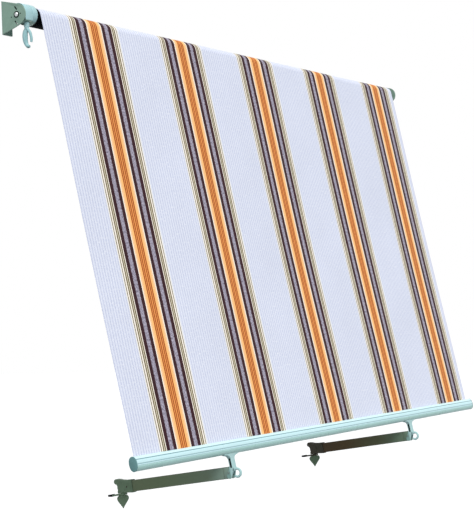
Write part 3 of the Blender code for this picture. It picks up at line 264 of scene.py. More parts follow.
# %% [markdown]
# ## One broad lamp
#
# A sun lamp stands above, in front and to the left. Its wide angle makes the shadows soft, as under a hazy
# sky, where several area lamps would give several shadows. Lamp and world together are kept at the level
# where a painted colour renders about as it is written.

# %% Hang the lamp
LAMP_STRENGTH = 2.45
LAMP_ANGLE = radians(22)
LAMP_DIRECTION = Vector((0.62, 0.70, -0.90))

lamp_data = bpy.data.lights.new("key", "SUN")
lamp_data.energy = LAMP_STRENGTH
lamp_data.angle = LAMP_ANGLE
lamp_data.color = (1.0, 0.985, 0.96)
lamp = bpy.data.objects.new("key", lamp_data)
lamp.rotation_euler = LAMP_DIRECTION.to_track_quat("-Z", "Y").to_euler()
scene.collection.objects.link(lamp)
scene.view_settings.view_transform = "Standard"
print("lamp strength", LAMP_STRENGTH)

# %% [markdown]
# ## Stripes
#
# The cloth is woven with its stripes lengthwise, so a stripe is a range of warp threads. Five equal groups
# lie 482 mm apart: a middle of orange and rust lines, peach bands, plum bands with a mottled lavender band
# between them, and cream and olive pin lines outside. Each group is the same to the left and right of its
# middle, so half a group describes them all: a list of colours and of the distances where they start.

# %% Stripe colours and widths
STRIPE_PITCH = 0.482
HALF_PITCH = STRIPE_PITCH / 2
FABRIC_LEFT, FABRIC_RIGHT = 0.052, 2.392
FABRIC_WIDTH = FABRIC_RIGHT - FABRIC_LEFT
FIRST_GROUP = 0.259
FIRST_MIDDLE = FABRIC_LEFT + FIRST_GROUP
MOTTLED_START, MOTTLED_END = 0.0549, 0.0741
GROUND_START = 0.1259

ORANGE = seen(242, 156, 82)
RUST = seen(152, 68, 8)
PEACH = seen(255, 194, 122)
PALE_PEACH = seen(246, 208, 168)
CREAM = seen(255, 246, 232)
PLUM = seen(52, 18, 27)
LAVENDER = seen(122, 118, 136)
DIM_LAVENDER = seen(88, 74, 88)
OLIVE = seen(106, 94, 62)
LIGHT_OLIVE = seen(226, 216, 192)
PALE_LINE = seen(244, 241, 236)
GROUND = seen(222, 227, 242)

# Distance from a group's middle where each colour starts, in metres
STRIPES = [
    (0.0000, ORANGE), (0.0024, RUST), (0.0067, ORANGE), (0.0112, RUST), (0.0156, ORANGE),
    (0.0176, PEACH), (0.0268, PALE_PEACH), (0.0306, PEACH), (0.0334, CREAM), (0.0382, PLUM),
    (MOTTLED_START, DIM_LAVENDER), (0.0579, LAVENDER), (0.0711, DIM_LAVENDER), (MOTTLED_END, PLUM),
    (0.0908, CREAM), (0.0950, OLIVE), (0.1004, LIGHT_OLIVE), (0.1042, OLIVE), (0.1098, CREAM),
    (0.1160, OLIVE), (0.1202, PALE_LINE), (GROUND_START, GROUND),
]
print(len(STRIPES), "colour fields in a half group")

# %% [markdown]
# ## The stripes as a shader group
#
# Stripes could be strips of mesh with a material each, but a few nodes keep their edges sharp at any
# distance. Folding X with ping-pong gives the distance to the nearest middle of a group, and one colour ramp
# with hard stops turns that distance into thread colours. Two masks say where the pale ground and the
# mottled band lie, because the cloth's material treats those fields in their own way.

# %% Stripe group
stripes, given, result = group("cloth_stripes", [("X", "Float", 0.0)],
                               [("Color", "Color"), ("Ground", "Float"), ("Mottled", "Float")])
from_first = compute(stripes, "SUBTRACT", given["X"], FIRST_MIDDLE)
from_middle = compute(stripes, "PINGPONG", from_first, HALF_PITCH)
ramp = add(stripes, "ValToRGB", {0: compute(stripes, "DIVIDE", from_middle, HALF_PITCH)})
ramp.color_ramp.interpolation = "CONSTANT"
stops = ramp.color_ramp.elements
stops.remove(stops[1])
stops[0].color = STRIPES[0][1]
for start, colour in STRIPES[1:]:
    stops.new(start / HALF_PITCH).color = colour
on_ground = compute(stripes, "GREATER_THAN", from_middle, GROUND_START)
past_start = compute(stripes, "GREATER_THAN", from_middle, MOTTLED_START)
before_end = compute(stripes, "LESS_THAN", from_middle, MOTTLED_END)
stripes.links.new(ramp.outputs["Color"], result["Color"])
stripes.links.new(on_ground, result["Ground"])
stripes.links.new(compute(stripes, "MULTIPLY", past_start, before_end), result["Mottled"])
print("stops on the ramp:", len(stops))

# %% [markdown]
# ## Weave
#
# Awning cloth is a plain weave with a rib: every few warp threads lie a little prouder, which shows as
# faint lines 13 mm apart on the pale ground. Over and under, warp and weft make a fine checker of rounded
# bumps. Two sine waves, one across and one along the drop, give that as a height. A sine that is finer than
# a pixel averages out in a far view and only shows close up, so it needs no switch. Flecks are a noise that
# is longer than wide, as slubs in a yarn are.

# %% Weave group
RIBS_IN_REPEAT = 38
RIB_PITCH = STRIPE_PITCH / RIBS_IN_REPEAT
RIB_SHARPNESS = 1.6
THREAD = 0.0016
CHECKER_SHARE, RIB_SHARE = 0.35, 0.65
FLECK_STRETCH = 2.2


def thread_wave(tree, distance, pitch):
    """A sine that repeats with each thread."""
    return compute(tree, "SINE", compute(tree, "MULTIPLY", compute(tree, "DIVIDE", distance, pitch), tau))


weave, given, result = group(
    "awning_weave", [("X", "Float", 0.0), ("Along", "Float", 0.0), ("Thread", "Float", THREAD)],
    [("Height", "Float"), ("Rib", "Float"), ("Fleck", "Float")])
checker = compute(weave, "MULTIPLY", thread_wave(weave, given["X"], given["Thread"]),
                  thread_wave(weave, given["Along"], given["Thread"]))
rib_wave = compute(weave, "SINE", compute(weave, "MULTIPLY", given["X"], tau / RIB_PITCH))
rib = compute(weave, "POWER", compute(weave, "MULTIPLY_ADD", rib_wave, 0.5, 0.5), RIB_SHARPNESS)
height = compute(weave, "ADD", compute(weave, "MULTIPLY", checker, CHECKER_SHARE),
                 compute(weave, "MULTIPLY", rib, RIB_SHARE))
narrowed = compute(weave, "MULTIPLY", given["X"], FLECK_STRETCH)
place = add(weave, "CombineXYZ", {0: narrowed, 1: given["Along"]})
fleck = add(weave, "TexNoise", {"Vector": place.outputs[0], "Scale": 150.0, "Detail": 2.0, "Roughness": 0.7})
weave.links.new(height, result["Height"])
weave.links.new(rib, result["Rib"])
weave.links.new(fleck.outputs[0], result["Fleck"])
print("rib pitch", round(RIB_PITCH * 1000, 1), "mm")

# %% [markdown]
# ## Cloth material
#
# The shader gets its colour from the stripe group and small variations from the weave group: ribs tint the
# pale ground, flecks lighten it and break up the lavender band, and the whole sheet is a few percent uneven,
# as dyed yarn is. Cloth has no gloss to speak of but a soft sheen at grazing angles, so sheen is set on the
# shader. The weave reads the piece's own UV map, which holds metres across and along, so it stays put when
# the cloth is rolled up.

# %% Make the cloth material
RIB_TINT = seen(194, 200, 224)
GLINT = seen(246, 247, 252)
LIGHT_FLECK = seen(188, 182, 198)
DARK_FLECK = seen(92, 80, 98)
GLINT_RANGE, GLINT_STRENGTH = (0.50, 0.66), 0.6
LIGHT_RANGE = (0.38, 0.62)
DARK_RANGE, DARK_STRENGTH = (0.5, 0.3), 0.7
DARKEST_SHADE, LIGHTEST_SHADE = 0.97, 1.02

cloth, tree, shader = material("awning_cloth", Roughness=0.88, Sheen_Weight=0.15, Sheen_Roughness=0.45,
                               Specular_IOR_Level=0.1)
uv = add(tree, "UVMap", uv_map="cloth").outputs[0]
across, along = add(tree, "SeparateXYZ", {0: uv}).outputs[:2]
layout = use(tree, stripes, X=across)
threads = use(tree, weave, X=across, Along=along)


def tint(colour, field, strength, tone):
    """Lays a tone over the cloth's colour in one field of the stripes."""
    return mix(tree, compute(tree, "MULTIPLY", layout[field], strength), colour, tone)


toned = tint(layout["Color"], "Ground", threads["Rib"], RIB_TINT)
toned = tint(toned, "Ground", rescale(tree, threads["Fleck"], *GLINT_RANGE, 0.0, GLINT_STRENGTH), GLINT)
toned = tint(toned, "Mottled", rescale(tree, threads["Fleck"], *LIGHT_RANGE), LIGHT_FLECK)
dark_speck = rescale(tree, threads["Fleck"], *DARK_RANGE)
toned = tint(toned, "Mottled", compute(tree, "MULTIPLY", dark_speck, DARK_STRENGTH), DARK_FLECK)
uneven = add(tree, "TexNoise", {"Vector": uv, "Scale": 3.5, "Detail": 3.0, "Roughness": 0.6})
shade = rescale(tree, uneven.outputs[0], 0.3, 0.7, DARKEST_SHADE, LIGHTEST_SHADE)
toned = mix(tree, 1.0, toned, add(tree, "CombineXYZ", {0: shade, 1: shade, 2: shade}).outputs[0], "MULTIPLY")
tree.links.new(toned, shader.inputs["Base Color"])
bump = add(tree, "Bump", {"Strength": 0.35, "Distance": 0.0006, "Height": threads["Height"]})
tree.links.new(bump.outputs[0], shader.inputs["Normal"])
print("cloth material ready")

# %% [markdown]
# ## A sheet of cloth
#
# Both cloth pieces start the same way: a flat grid whose points a rule moves to their place. The rule also
# gives each point's length along the cloth, which goes into the UV map. The skin is moved out by half the
# cloth's thickness and solidified inwards, so its middle stays where the rule put it.

# %% Cloth helper
SLOPE = radians(12.0)
ROLLER_AXIS = Vector((0, -0.0578, 0.0032))
CLOTH_RADIUS = 0.0287
CLOTH_THICKNESS = 0.0006

outward = Vector((0, -cos(SLOPE), sin(SLOPE)))
downhill = Vector((0, -sin(SLOPE), -cos(SLOPE)))
tangent = ROLLER_AXIS + CLOTH_RADIUS * outward


def cloth_sheet(name, columns, rows, point_of):
    """A grid of cloth with its UV in metres.

    point_of(x, share) gives a point and its length along the cloth."""
    bm = bmesh.new()
    bmesh.ops.create_grid(bm, x_segments=columns, y_segments=rows, size=0.5)
    uv_layer = bm.loops.layers.uv.new("cloth")
    flat = {}
    for vert in bm.verts:
        x = FABRIC_LEFT + (vert.co.x + 0.5) * FABRIC_WIDTH
        vert.co, along = point_of(x, 0.5 - vert.co.y)
        flat[vert] = (x, along)
    for face in bm.faces:
        for loop in face.loops:
            loop[uv_layer].uv = flat[loop.vert]
        face.smooth = True
    bmesh.ops.recalc_face_normals(bm, faces=bm.faces[:])
    bm.normal_update()
    if sum((face.normal for face in bm.faces), Vector()).dot(outward) < 0:
        bmesh.ops.reverse_faces(bm, faces=bm.faces[:])
    for vert in bm.verts:
        vert.co += vert.normal * CLOTH_THICKNESS / 2
    bmesh.ops.solidify(bm, geom=bm.faces[:], thickness=CLOTH_THICKNESS)
    piece = finish_piece(name, bm, cloth)
    piece.data.set_sharp_from_angle(angle=radians(40))
    return piece


print("cloth helper ready")

# %% [markdown]
# ## The drop
#
# On the real awning the bar's weight pulls the cloth flat, but woven cloth is never quite plane: it bellies
# a little between roller and bar and carries soft lengthwise waves. A cloth simulation could find these. A
# taut sheet moves only a millimetre or two, though, so the same is reached more simply with a grid whose
# points are moved along the sheet's normal by a few slow waves that fade out at both held edges.

# %% Make the drop
DROP = 1.3037
INTO_BAR = 0.0022
DROP_LENGTH = DROP + INTO_BAR
BELLY = 0.0035
SLOW_WAVE, MIDDLE_WAVE, FAST_WAVE = 0.0016, 0.0010, 0.0007
HOLD_FADE = 1.6


def drop_point(x, share):
    """A point of the drop: three waves across the cloth, at their strongest between the two held edges."""
    along = share * DROP_LENGTH
    held = sin(pi * min(share, 1.0)) ** HOLD_FADE
    waves = SLOW_WAVE * sin(2.6 * x + 0.6) + MIDDLE_WAVE * sin(6.1 * x + 2.2 * share + 1.9)
    waves += FAST_WAVE * sin(14.0 * x - 1.5 * share) * share
    return tangent + along * downhill + held * (waves - BELLY) * outward + Vector((x, 0, 0)), along


drop = cloth_sheet("fabric_drop", 150, 64, drop_point)
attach(drop, "frame")
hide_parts("fabric")
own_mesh(drop)
print("drop:", len(drop.data.polygons), "faces")

# %% [markdown]
# ## The wrap over the roller
#
# Above the drop the cloth lies on the tube and ends in the tube's groove, where a rod in its hem holds it.
# This part stays on the roller at every height of the bar, so it is a piece of its own that doesn't flatten.

# %% Make the wrap
GROOVE_ANGLE = radians(50)
WRAP_START = pi - SLOPE
WRAP_TURN = WRAP_START - GROOVE_ANGLE


def wrap_point(x, share):
    """A point of the wrap. Its length counts backwards from the drop's upper edge, so the weave runs on."""
    turned = share * WRAP_TURN
    angle = WRAP_START - turned
    place = ROLLER_AXIS + CLOTH_RADIUS * Vector((0, cos(angle), sin(angle))) + Vector((x, 0, 0))
    return place, -CLOTH_RADIUS * turned


wrap = cloth_sheet("fabric_wrap", 40, 36, wrap_point)
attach(wrap, "frame")

# %% [markdown]
# ## Uneven surfaces and worn edges
#
# Three things keep a painted or moulded surface from looking like a flat colour: a fine unevenness that
# breaks up the highlights, dust and stains that gather as a soft second tone, and edges where the colour is
# thinner and lighter. One group makes the tone and the roughness from noise, and one reads how sharp the
# shape is near a point with a Bevel node, which works on any mesh. Each finish places the same two groups
# with its own amounts.

# %% Wear and edge groups
MID_GREY = (0.5, 0.5, 0.5, 1)

surface, given, result = group(
    "uneven_surface",
    [("Color", "Color", MID_GREY), ("Dust Color", "Color", MID_GREY), ("Dust", "Float", 0.2),
     ("Grain Scale", "Float", 900.0), ("Roughness", "Float", 0.4)],
    [("Color", "Color"), ("Roughness", "Float"), ("Height", "Float")])
where = add(surface, "TexCoord").outputs["Object"]
grain = add(surface, "TexNoise", {"Vector": where, "Scale": given["Grain Scale"], "Detail": 2.0}).outputs[0]
cloud = add(surface, "TexNoise", {"Vector": where, "Scale": 28.0, "Detail": 4.0, "Roughness": 0.65})
amount = rescale(surface, cloud.outputs[0], 0.35, 0.75)
dust = compute(surface, "MULTIPLY", amount, given["Dust"])
dusty = mix(surface, dust, given["Color"], given["Dust Color"])
rough = compute(surface, "ADD", given["Roughness"], compute(surface, "MULTIPLY_ADD", amount, 0.12, -0.04))
surface.links.new(dusty, result["Color"])
surface.links.new(rough, result["Roughness"])
surface.links.new(grain, result["Height"])

edges, given, result = group("edge_mask", [("Radius", "Float", 0.0012)],
                             [("Edge", "Float"), ("Normal", "Vector")])
rounded = add(edges, "Bevel", {"Radius": given["Radius"]}, samples=6).outputs[0]
plain = add(edges, "NewGeometry").outputs["Normal"]
likeness = add(edges, "VectorMath", {0: rounded, 1: plain}, operation="DOT_PRODUCT").outputs["Value"]
edges.links.new(rescale(edges, likeness, 0.995, 0.90), result["Edge"])
edges.links.new(rounded, result["Normal"])
print("groups:", surface.name, "and", edges.name)

# %% [markdown]
# ## Rubbed rims and painted shade in recesses
#
# An arm loses its paint first along its two long edges, and recesses that little light reaches get
# painted shade. Noise can't find such places. The rims lie at a set distance from the arm's middle, so a
# dot product with the direction across the arm finds them. Recesses follow no such rule, so a piece marks
# their faces in an attribute named deep, and the second group paints shade on them.

# %% Rim and recess groups
RUB_START, RUB_FULL, RUB_STRENGTH = 0.0030, 0.0008, 0.75


def distance_along(tree, direction):
    """How far a point lies along a direction, in metres."""
    return add(tree, "VectorMath", {0: add(tree, "TexCoord").outputs["Object"], 1: direction},
               operation="DOT_PRODUCT").outputs["Value"]


rim_wear, given, result = group(
    "rim_wear",
    [("Color", "Color", MID_GREY), ("Bare", "Color", MID_GREY), ("Across", "Vector", (0, 0, 1)),
     ("Middle", "Float", 0.0), ("Half", "Float", 0.02)],
    [("Color", "Color")])
from_middle = compute(rim_wear, "SUBTRACT", distance_along(rim_wear, given["Across"]), given["Middle"])
start = compute(rim_wear, "SUBTRACT", given["Half"], RUB_START)
full = compute(rim_wear, "SUBTRACT", given["Half"], RUB_FULL)
rubbed = rescale(rim_wear, compute(rim_wear, "ABSOLUTE", from_middle), start, full, 0.0, RUB_STRENGTH)
rim_wear.links.new(mix(rim_wear, rubbed, given["Color"], given["Bare"]), result["Color"])

# The second group paints shade: it darkens the faces marked deep towards the Shade colour.
painted_recess_shade, given, result = group(
    "painted_recess_shade", [("Color", "Color", MID_GREY), ("Shade", "Color", MID_GREY)], [("Color", "Color")])
marked = add(painted_recess_shade, "Attribute", attribute_name="deep").outputs["Fac"]
painted_recess_shade.links.new(mix(painted_recess_shade, marked, given["Color"], given["Shade"]), result["Color"])
print("groups:", rim_wear.name, "and", painted_recess_shade.name)

# %% [markdown]
# ## Tones along a piece, and its grain
#
# A coat can change in tone from one end of a piece to the other, and several such tones here are painted
# light and shade: the housing's darker underside, the arms lighter at the bar, and the bands across the bar.
# A texture painted by hand could show that, but a ramp along one direction needs no image and stays sharp.
# The grain of paint and plastic is far too fine to model, so it is a bump, laid over the normals that the
# edge group has already softened.

# %% Coat helpers
def tone_along(tree, direction, tones):
    """A colour that changes along a direction: tones is a list of (distance, colour) in rising order."""
    low, high = tones[0][0], tones[-1][0]
    ramp = add(tree, "ValToRGB", {0: rescale(tree, distance_along(tree, direction), low, high)})
    stops = ramp.color_ramp.elements
    stops[0].color = tones[0][1]
    stops[1].color = tones[-1][1]
    for at, tone in tones[1:-1]:
        stops.new((at - low) / (high - low)).color = tone
    return ramp.outputs[0]


def grained(tree, shader, height, rim, strength, depth):
    """Gives a shader its grain as bump over the softened edges."""
    bump = add(tree, "Bump", {"Strength": strength, "Distance": depth, "Height": height,
                              "Normal": rim["Normal"]})
    tree.links.new(bump.outputs[0], shader.inputs["Normal"])


print("coat helpers ready")

# %% [markdown]
# ## One function for every coat
#
# Painted steel and moulded plastic differ here only in their amounts. A coat is its colour with dust over
# it, a lighter or darker tone on its edges, painted shade in its recesses, and its grain. So one function
# builds them all, and a new finish takes one call.

# %% Coat function
DEEP_SHADE = seen(26, 40, 38)
finishes = {}


def coated(name, colour, dust_colour, dust=0.25, roughness=0.4, grain_scale=900.0, grain_depth=0.00004,
           edge_colour=None, edge=0.35, gloss=0.22, fade=None, along=(0, 1, 0), rims=None):
    """Paint or moulded plastic, kept in finishes under its name.

    fade is a list of (distance, colour) where the tone changes along a direction.
    rims is what the rim_wear group takes, for paint that has worn along two long edges."""
    finishes[name], tree, shader = material(name, Specular_IOR_Level=gloss)
    base = tone_along(tree, along, fade) if fade else colour
    if rims:
        base = use(tree, rim_wear, Color=base, **rims)["Color"]
    layer = use(tree, surface, Color=base, Dust_Color=dust_colour, Dust=dust, Grain_Scale=grain_scale,
                Roughness=roughness)
    rim = use(tree, edges, Radius=0.0009)
    bared = compute(tree, "MULTIPLY", rim["Edge"], edge)
    worn = mix(tree, bared, layer["Color"], edge_colour or dust_colour)
    # Faces marked deep get painted shade.
    recess_shaded = use(tree, painted_recess_shade, Color=worn, Shade=DEEP_SHADE)
    tree.links.new(recess_shaded["Color"], shader.inputs["Base Color"])
    tree.links.new(layer["Roughness"], shader.inputs["Roughness"])
    grained(tree, shader, layer["Height"], rim, 0.5, grain_depth)


print("coat function ready")

# %% [markdown]
# ## Finishes of the roller's end
#
# The brackets are pressed steel in a grey green coat with an orange-peel grain. The gear's housing and the
# crank's eye are moulded in a pale ice blue. The housing's flat underside is painted a darker green, as
# painted shade, and wear has darkened the eye's tip. The roller is near-black with almost no gloss: a black
# tube, darkened further as painted shade for the deep shadow under it. The rods in the cloth's hems are pale
# grey plastic.

# %% Bracket, gear, crank and roller finishes
ICE = seen(168, 206, 210)
HOUSING_UNDERSIDE_SHADE = seen(112, 146, 132)

coated("bracket_paint", seen(132, 160, 146), seen(114, 144, 130), dust=0.4, roughness=0.42,
       edge_colour=seen(160, 188, 172), grain_scale=420.0, grain_depth=0.00008)
# The darker green on the housing's underside is painted shade.
coated("gear_plastic", ICE, seen(146, 184, 190), dust=0.2, roughness=0.34, edge_colour=seen(206, 230, 232),
       along=(0, 0, 1), fade=[(-0.026, HOUSING_UNDERSIDE_SHADE), (-0.0165, HOUSING_UNDERSIDE_SHADE), (-0.0120, ICE), (0.0370, ICE)])
coated("crank_plastic", ICE, seen(130, 170, 174), dust=0.45, roughness=0.38, edge_colour=seen(110, 146, 148),
       edge=0.5, along=(0, 0, 1),
       fade=[(-0.0945, seen(84, 118, 116)), (-0.0885, seen(152, 192, 196)), (-0.0181, ICE)])
coated("keder_plastic", seen(226, 227, 231), seen(205, 206, 212), roughness=0.5)
# Near-black and nearly without gloss: a black tube, darkened further as painted shade for the deep shadow
# under the roller.
coated("roller_black", seen(3, 3, 6), seen(8, 8, 11), dust=0.3, roughness=0.75, gloss=0.03)
print(len(finishes), "coated finishes so far")

# %% [markdown]
# ## Finishes of the bar's hardware and the arms
#
# The hook brackets are mint in front and turn teal towards the wall. The bar's end caps are a darker teal.
# The left arm is olive green with its long edges rubbed to brown, and the right one is browner. Both arms
# are lighter towards the bar and darker towards the wall, as painted light and shade, the right one
# darkest at its clamp. The clamps are close to their arm in colour, and the left one's jaws are black where
# they grip. The rivets at the arms' forks are dull steel, and those at the clamps are darker.

# %% Hook, cap, clamp and arm finishes
BAR_DEPTH = 0.0425
bar_middle = tangent + (DROP + BAR_DEPTH / 2) * downhill
wallward = Vector((0, cos(SLOPE), -sin(SLOPE)))
stem_line = bar_middle.dot(wallward)
arm_up = Vector((0, 0.13226, 0.99122))
arm_pivot = Vector((0, -0.364337, -1.363431))
arm_middles = {"left": 0.55, "right": 1.83}
ARM_RIM = 0.019
arm_rims = {"Across": arm_up, "Middle": arm_pivot.dot(arm_up), "Half": ARM_RIM, "Bare": seen(62, 48, 36)}

MINT = seen(172, 206, 206)
GREEN = seen(116, 140, 114)
BLACK = seen(24, 30, 24)
BROWN = seen(70, 54, 24)

coated("hook_plastic", MINT, seen(140, 180, 180), dust=0.35, roughness=0.36, edge_colour=seen(208, 230, 230),
       along=wallward,
       fade=[(stem_line, MINT), (stem_line + 0.003, MINT), (stem_line + 0.010, seen(116, 148, 140))])
coated("cap_plastic", seen(98, 138, 140), seen(80, 114, 116), dust=0.35, roughness=0.45,
       edge_colour=seen(70, 100, 100))
coated("left_clamp_plastic", GREEN, seen(80, 100, 78), dust=0.55, roughness=0.5,
       edge_colour=seen(138, 158, 134), fade=[(0.0, GREEN), (0.082, GREEN), (0.085, BLACK)])
coated("right_clamp_plastic", seen(56, 52, 42), seen(66, 74, 58), dust=0.4, roughness=0.5,
       edge_colour=seen(96, 104, 86))
coated("leaf_plastic", seen(96, 120, 96), seen(66, 84, 66), dust=0.5, roughness=0.5,
       edge_colour=seen(138, 158, 134))
# The tones along the arms are painted light and shade: lighter at the bar end, darker towards the wall.
coated("left_arm_paint", seen(100, 118, 88), seen(114, 124, 96), dust=0.3, edge_colour=seen(92, 70, 54),
       edge=0.7, rims=arm_rims,
       fade=[(-0.36, seen(118, 142, 134)), (-0.28, seen(110, 128, 108)), (-0.12, seen(104, 122, 92)),
             (0.03, seen(104, 118, 90))])
coated("right_arm_paint", BROWN, seen(78, 66, 38), dust=0.3, edge_colour=seen(70, 52, 38), edge=0.6,
       rims=arm_rims,
       fade=[(-0.36, seen(98, 124, 106)), (-0.24, seen(80, 88, 62)), (-0.10, BROWN),
             (0.03, seen(58, 44, 24))])
coated("dull_steel", seen(120, 138, 134), seen(96, 112, 106), dust=0.5, roughness=0.5)
coated("dark_steel", seen(62, 60, 48), seen(48, 46, 38), dust=0.5, roughness=0.5)
print(len(finishes), "coated finishes")

# %% [markdown]
# ## Powder coat on the bar
#
# The bar is an extrusion, so its surface carries faint straight lines from the die under the coat. Noise
# that is stretched a hundred times along X gives those lines, and the fine grain of powder coat lies over
# them. The colour changes in bands across the bar's height, which is measured up the drop. These bands are
# painted light and shade: a painted highlight on the top, painted shade in its two upper flutes, and
# painted shade on its underside, which faces away from the lamp.

# %% Bar enamel
# The bar's tones are painted light and shade: shade on the underside and in two flutes, a highlight on top.
BAR_UNDERSIDE_SHADE = seen(160, 199, 194)
MIDDLE_TONE = seen(200, 233, 238)
TOP_HIGHLIGHT_TONE = seen(208, 237, 242)
FLUTE_SHADE = [(-0.0018, seen(144, 182, 188)), (0.0113, seen(112, 152, 160))]
HALF_LINE = 0.0017
SHADE_BELOW, BRIGHT_ABOVE, HIGHLIGHT_ABOVE = -0.0070, -0.0060, 0.0134

bands = [(-BAR_DEPTH / 2, BAR_UNDERSIDE_SHADE), (SHADE_BELOW, BAR_UNDERSIDE_SHADE), (BRIGHT_ABOVE, MIDDLE_TONE)]
# Each flute gets a thin band of painted shade.
for line, shade_tone in FLUTE_SHADE:
    bands.append((line - HALF_LINE, MIDDLE_TONE))
    bands.append((line - HALF_LINE / 2, shade_tone))
    bands.append((line + HALF_LINE / 2, shade_tone))
    bands.append((line + HALF_LINE, MIDDLE_TONE))
bands += [(HIGHLIGHT_ABOVE, TOP_HIGHLIGHT_TONE), (BAR_DEPTH / 2, TOP_HIGHLIGHT_TONE)]
bar_height = -bar_middle.dot(downhill)
bands = [(bar_height + rise, tone) for rise, tone in bands]

finishes["bar_enamel"], tree, shader = material("bar_enamel", Specular_IOR_Level=0.25)
where = add(tree, "TexCoord").outputs["Object"]
stretched = add(tree, "Mapping", {"Vector": where, "Scale": (0.01, 1, 1)}).outputs[0]
lines = add(tree, "TexNoise", {"Vector": stretched, "Scale": 900.0, "Detail": 3.0}).outputs[0]
layer = use(tree, surface, Color=tone_along(tree, -downhill, bands), Dust_Color=seen(178, 214, 216),
            Dust=0.2, Roughness=0.3)
rim = use(tree, edges, Radius=0.0006)
heights = compute(tree, "ADD", compute(tree, "MULTIPLY", lines, 0.7),
                  compute(tree, "MULTIPLY", layer["Height"], 0.3))
tree.links.new(layer["Color"], shader.inputs["Base Color"])
tree.links.new(layer["Roughness"], shader.inputs["Roughness"])
grained(tree, shader, heights, rim, 0.3, 0.00003)
print(len(bands), "tones across the bar")

# %% [markdown]
# ## Bright steel
#
# The gear's bolt, the pins of the crank and the idler, the worm with its wheel and the wall screws are bare
# steel. It is the one metallic finish: dulled in clouds, and with painted shade on the ring round the bolt's
# head.

# %% Bright steel
finishes["bright_steel"], tree, shader = material("bright_steel", Metallic=1.0)
layer = use(tree, surface, Color=seen(196, 200, 202), Dust_Color=seen(150, 152, 150), Dust=0.4,
            Roughness=0.3)
rim = use(tree, edges, Radius=0.0004)
# The ring round the bolt's head, marked deep, gets painted shade.
recess_shaded = use(tree, painted_recess_shade, Color=layer["Color"], Shade=seen(34, 46, 40))
tree.links.new(recess_shaded["Color"], shader.inputs["Base Color"])
tree.links.new(layer["Roughness"], shader.inputs["Roughness"])
grained(tree, shader, layer["Height"], rim, 0.3, 0.00003)
print(len(finishes), "finishes in all")

# %% [markdown]
# ## Faces in recesses
#
# In the bracket's slots, behind them on the housing, on the bolt's ring, in the cover's notch and in the
# pocket of each hook's stem, little light arrives. The faces there are found by their place, and the
# finishes darken them as painted shade.

# %% Find the recessed faces
CHEEK_MIDDLE, CHEEK_INSIDE = -0.021, 0.0019
SLOTS_REACH = 0.0285
HOUSING_BACK = -0.01865
BOLT_HEAD = 0.0066
NOTCH_LEFT, NOTCH_RIGHT, NOTCH_FLOOR, NOTCH_HALF = 0.0290, 0.0330, 0.0260, 0.006
POCKET_HALF, POCKET_LOW, POCKET_HIGH = 0.0033, -0.0632, -0.0312
POCKET_BACK, POCKET_FRONT = -0.0102, -0.002


def in_pocket(spot, side):
    """True for a point in the pocket on the left side of a hook's stem."""
    off = spot - bar_middle
    if abs(off.dot(wallward)) >= POCKET_HALF or not POCKET_LOW < -off.dot(downhill) < POCKET_HIGH:
        return False
    return POCKET_BACK < spot.x - arm_middles[side] < POCKET_FRONT


# A face in one of these recesses gets painted shade.
def is_deep(name, face):
    """True for a face in a recess of the named piece."""
    spot = face.calc_center_median()
    from_axis = sum((vert.co - ROLLER_AXIS).yz.length for vert in face.verts) / len(face.verts)
    if name == "wall_bracket_left":
        return abs(spot.x - CHEEK_MIDDLE) < CHEEK_INSIDE and from_axis < SLOTS_REACH
    if name == "gear_housing":
        return spot.x < HOUSING_BACK
    if name == "gear_bolt":
        return from_axis > BOLT_HEAD
    if name == "gear_cover":
        in_front = spot.y < ROLLER_AXIS.y and abs(spot.z) < NOTCH_HALF
        return in_front and NOTCH_LEFT < spot.x < NOTCH_RIGHT and from_axis > NOTCH_FLOOR
    if name.startswith("hook_bracket"):
        return in_pocket(spot, name.rsplit("_", 1)[1])
    return False


print("pocket of a stem:", round((POCKET_HIGH - POCKET_LOW) * 1000), "mm high")

# %% [markdown]
# ## The rigid pieces with smooth faces and broken edges
#
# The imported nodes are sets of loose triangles, so light would show every facet of a curved face. A finished
# copy of each one takes its place. Its triangles are joined, flat areas become single faces, and edges
# sharper than a set angle get a small chamfer, as stamping, moulding and paint leave them. Only sharp edges
# then stay sharp in the shading. A moulded cover has softer edges than a small pin, so the width differs by
# piece. The bar, the tubes, the crank's eye and the thumb screws are mostly curved and get none. The form
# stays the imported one: nothing here moves by more than the chamfer.

# %% Finish the rigid pieces
CHAMFERS = {"wall_bracket": 0.0005, "gear_housing": 0.0005, "gear_cover": 0.0008, "hook_bracket": 0.0005,
            "rail_jaw": 0.0006, "rail_lip": 0.0005, "arm_tube": 0.0, "arm_plug": 0.0004, "front_bar": 0.0,
            "front_bar_cap": 0.0005, "thumb_screw": 0.0, "crank_eye": 0.0, "roller_tube": 0.0}
USUAL_CHAMFER = 0.0003
CHAMFER_FROM = radians(38)
SHARP_FROM = radians(32)
FLAT_WITHIN = radians(0.4)
OWN_FINISH = {"thumb_screw_right": "leaf_plastic", "crank_eye": "crank_plastic",
              "arm_pivot_pin_left": "dull_steel", "arm_pivot_pin_right": "dull_steel"}

slots = {part["node"]: part["material_slot"] for part in frame["record"]["subparts"]}
body_of_node = {}
for body, members in frame["record"]["behaviour"]["bodies"].items():
    body_of_node.update((member, body) for member in members)


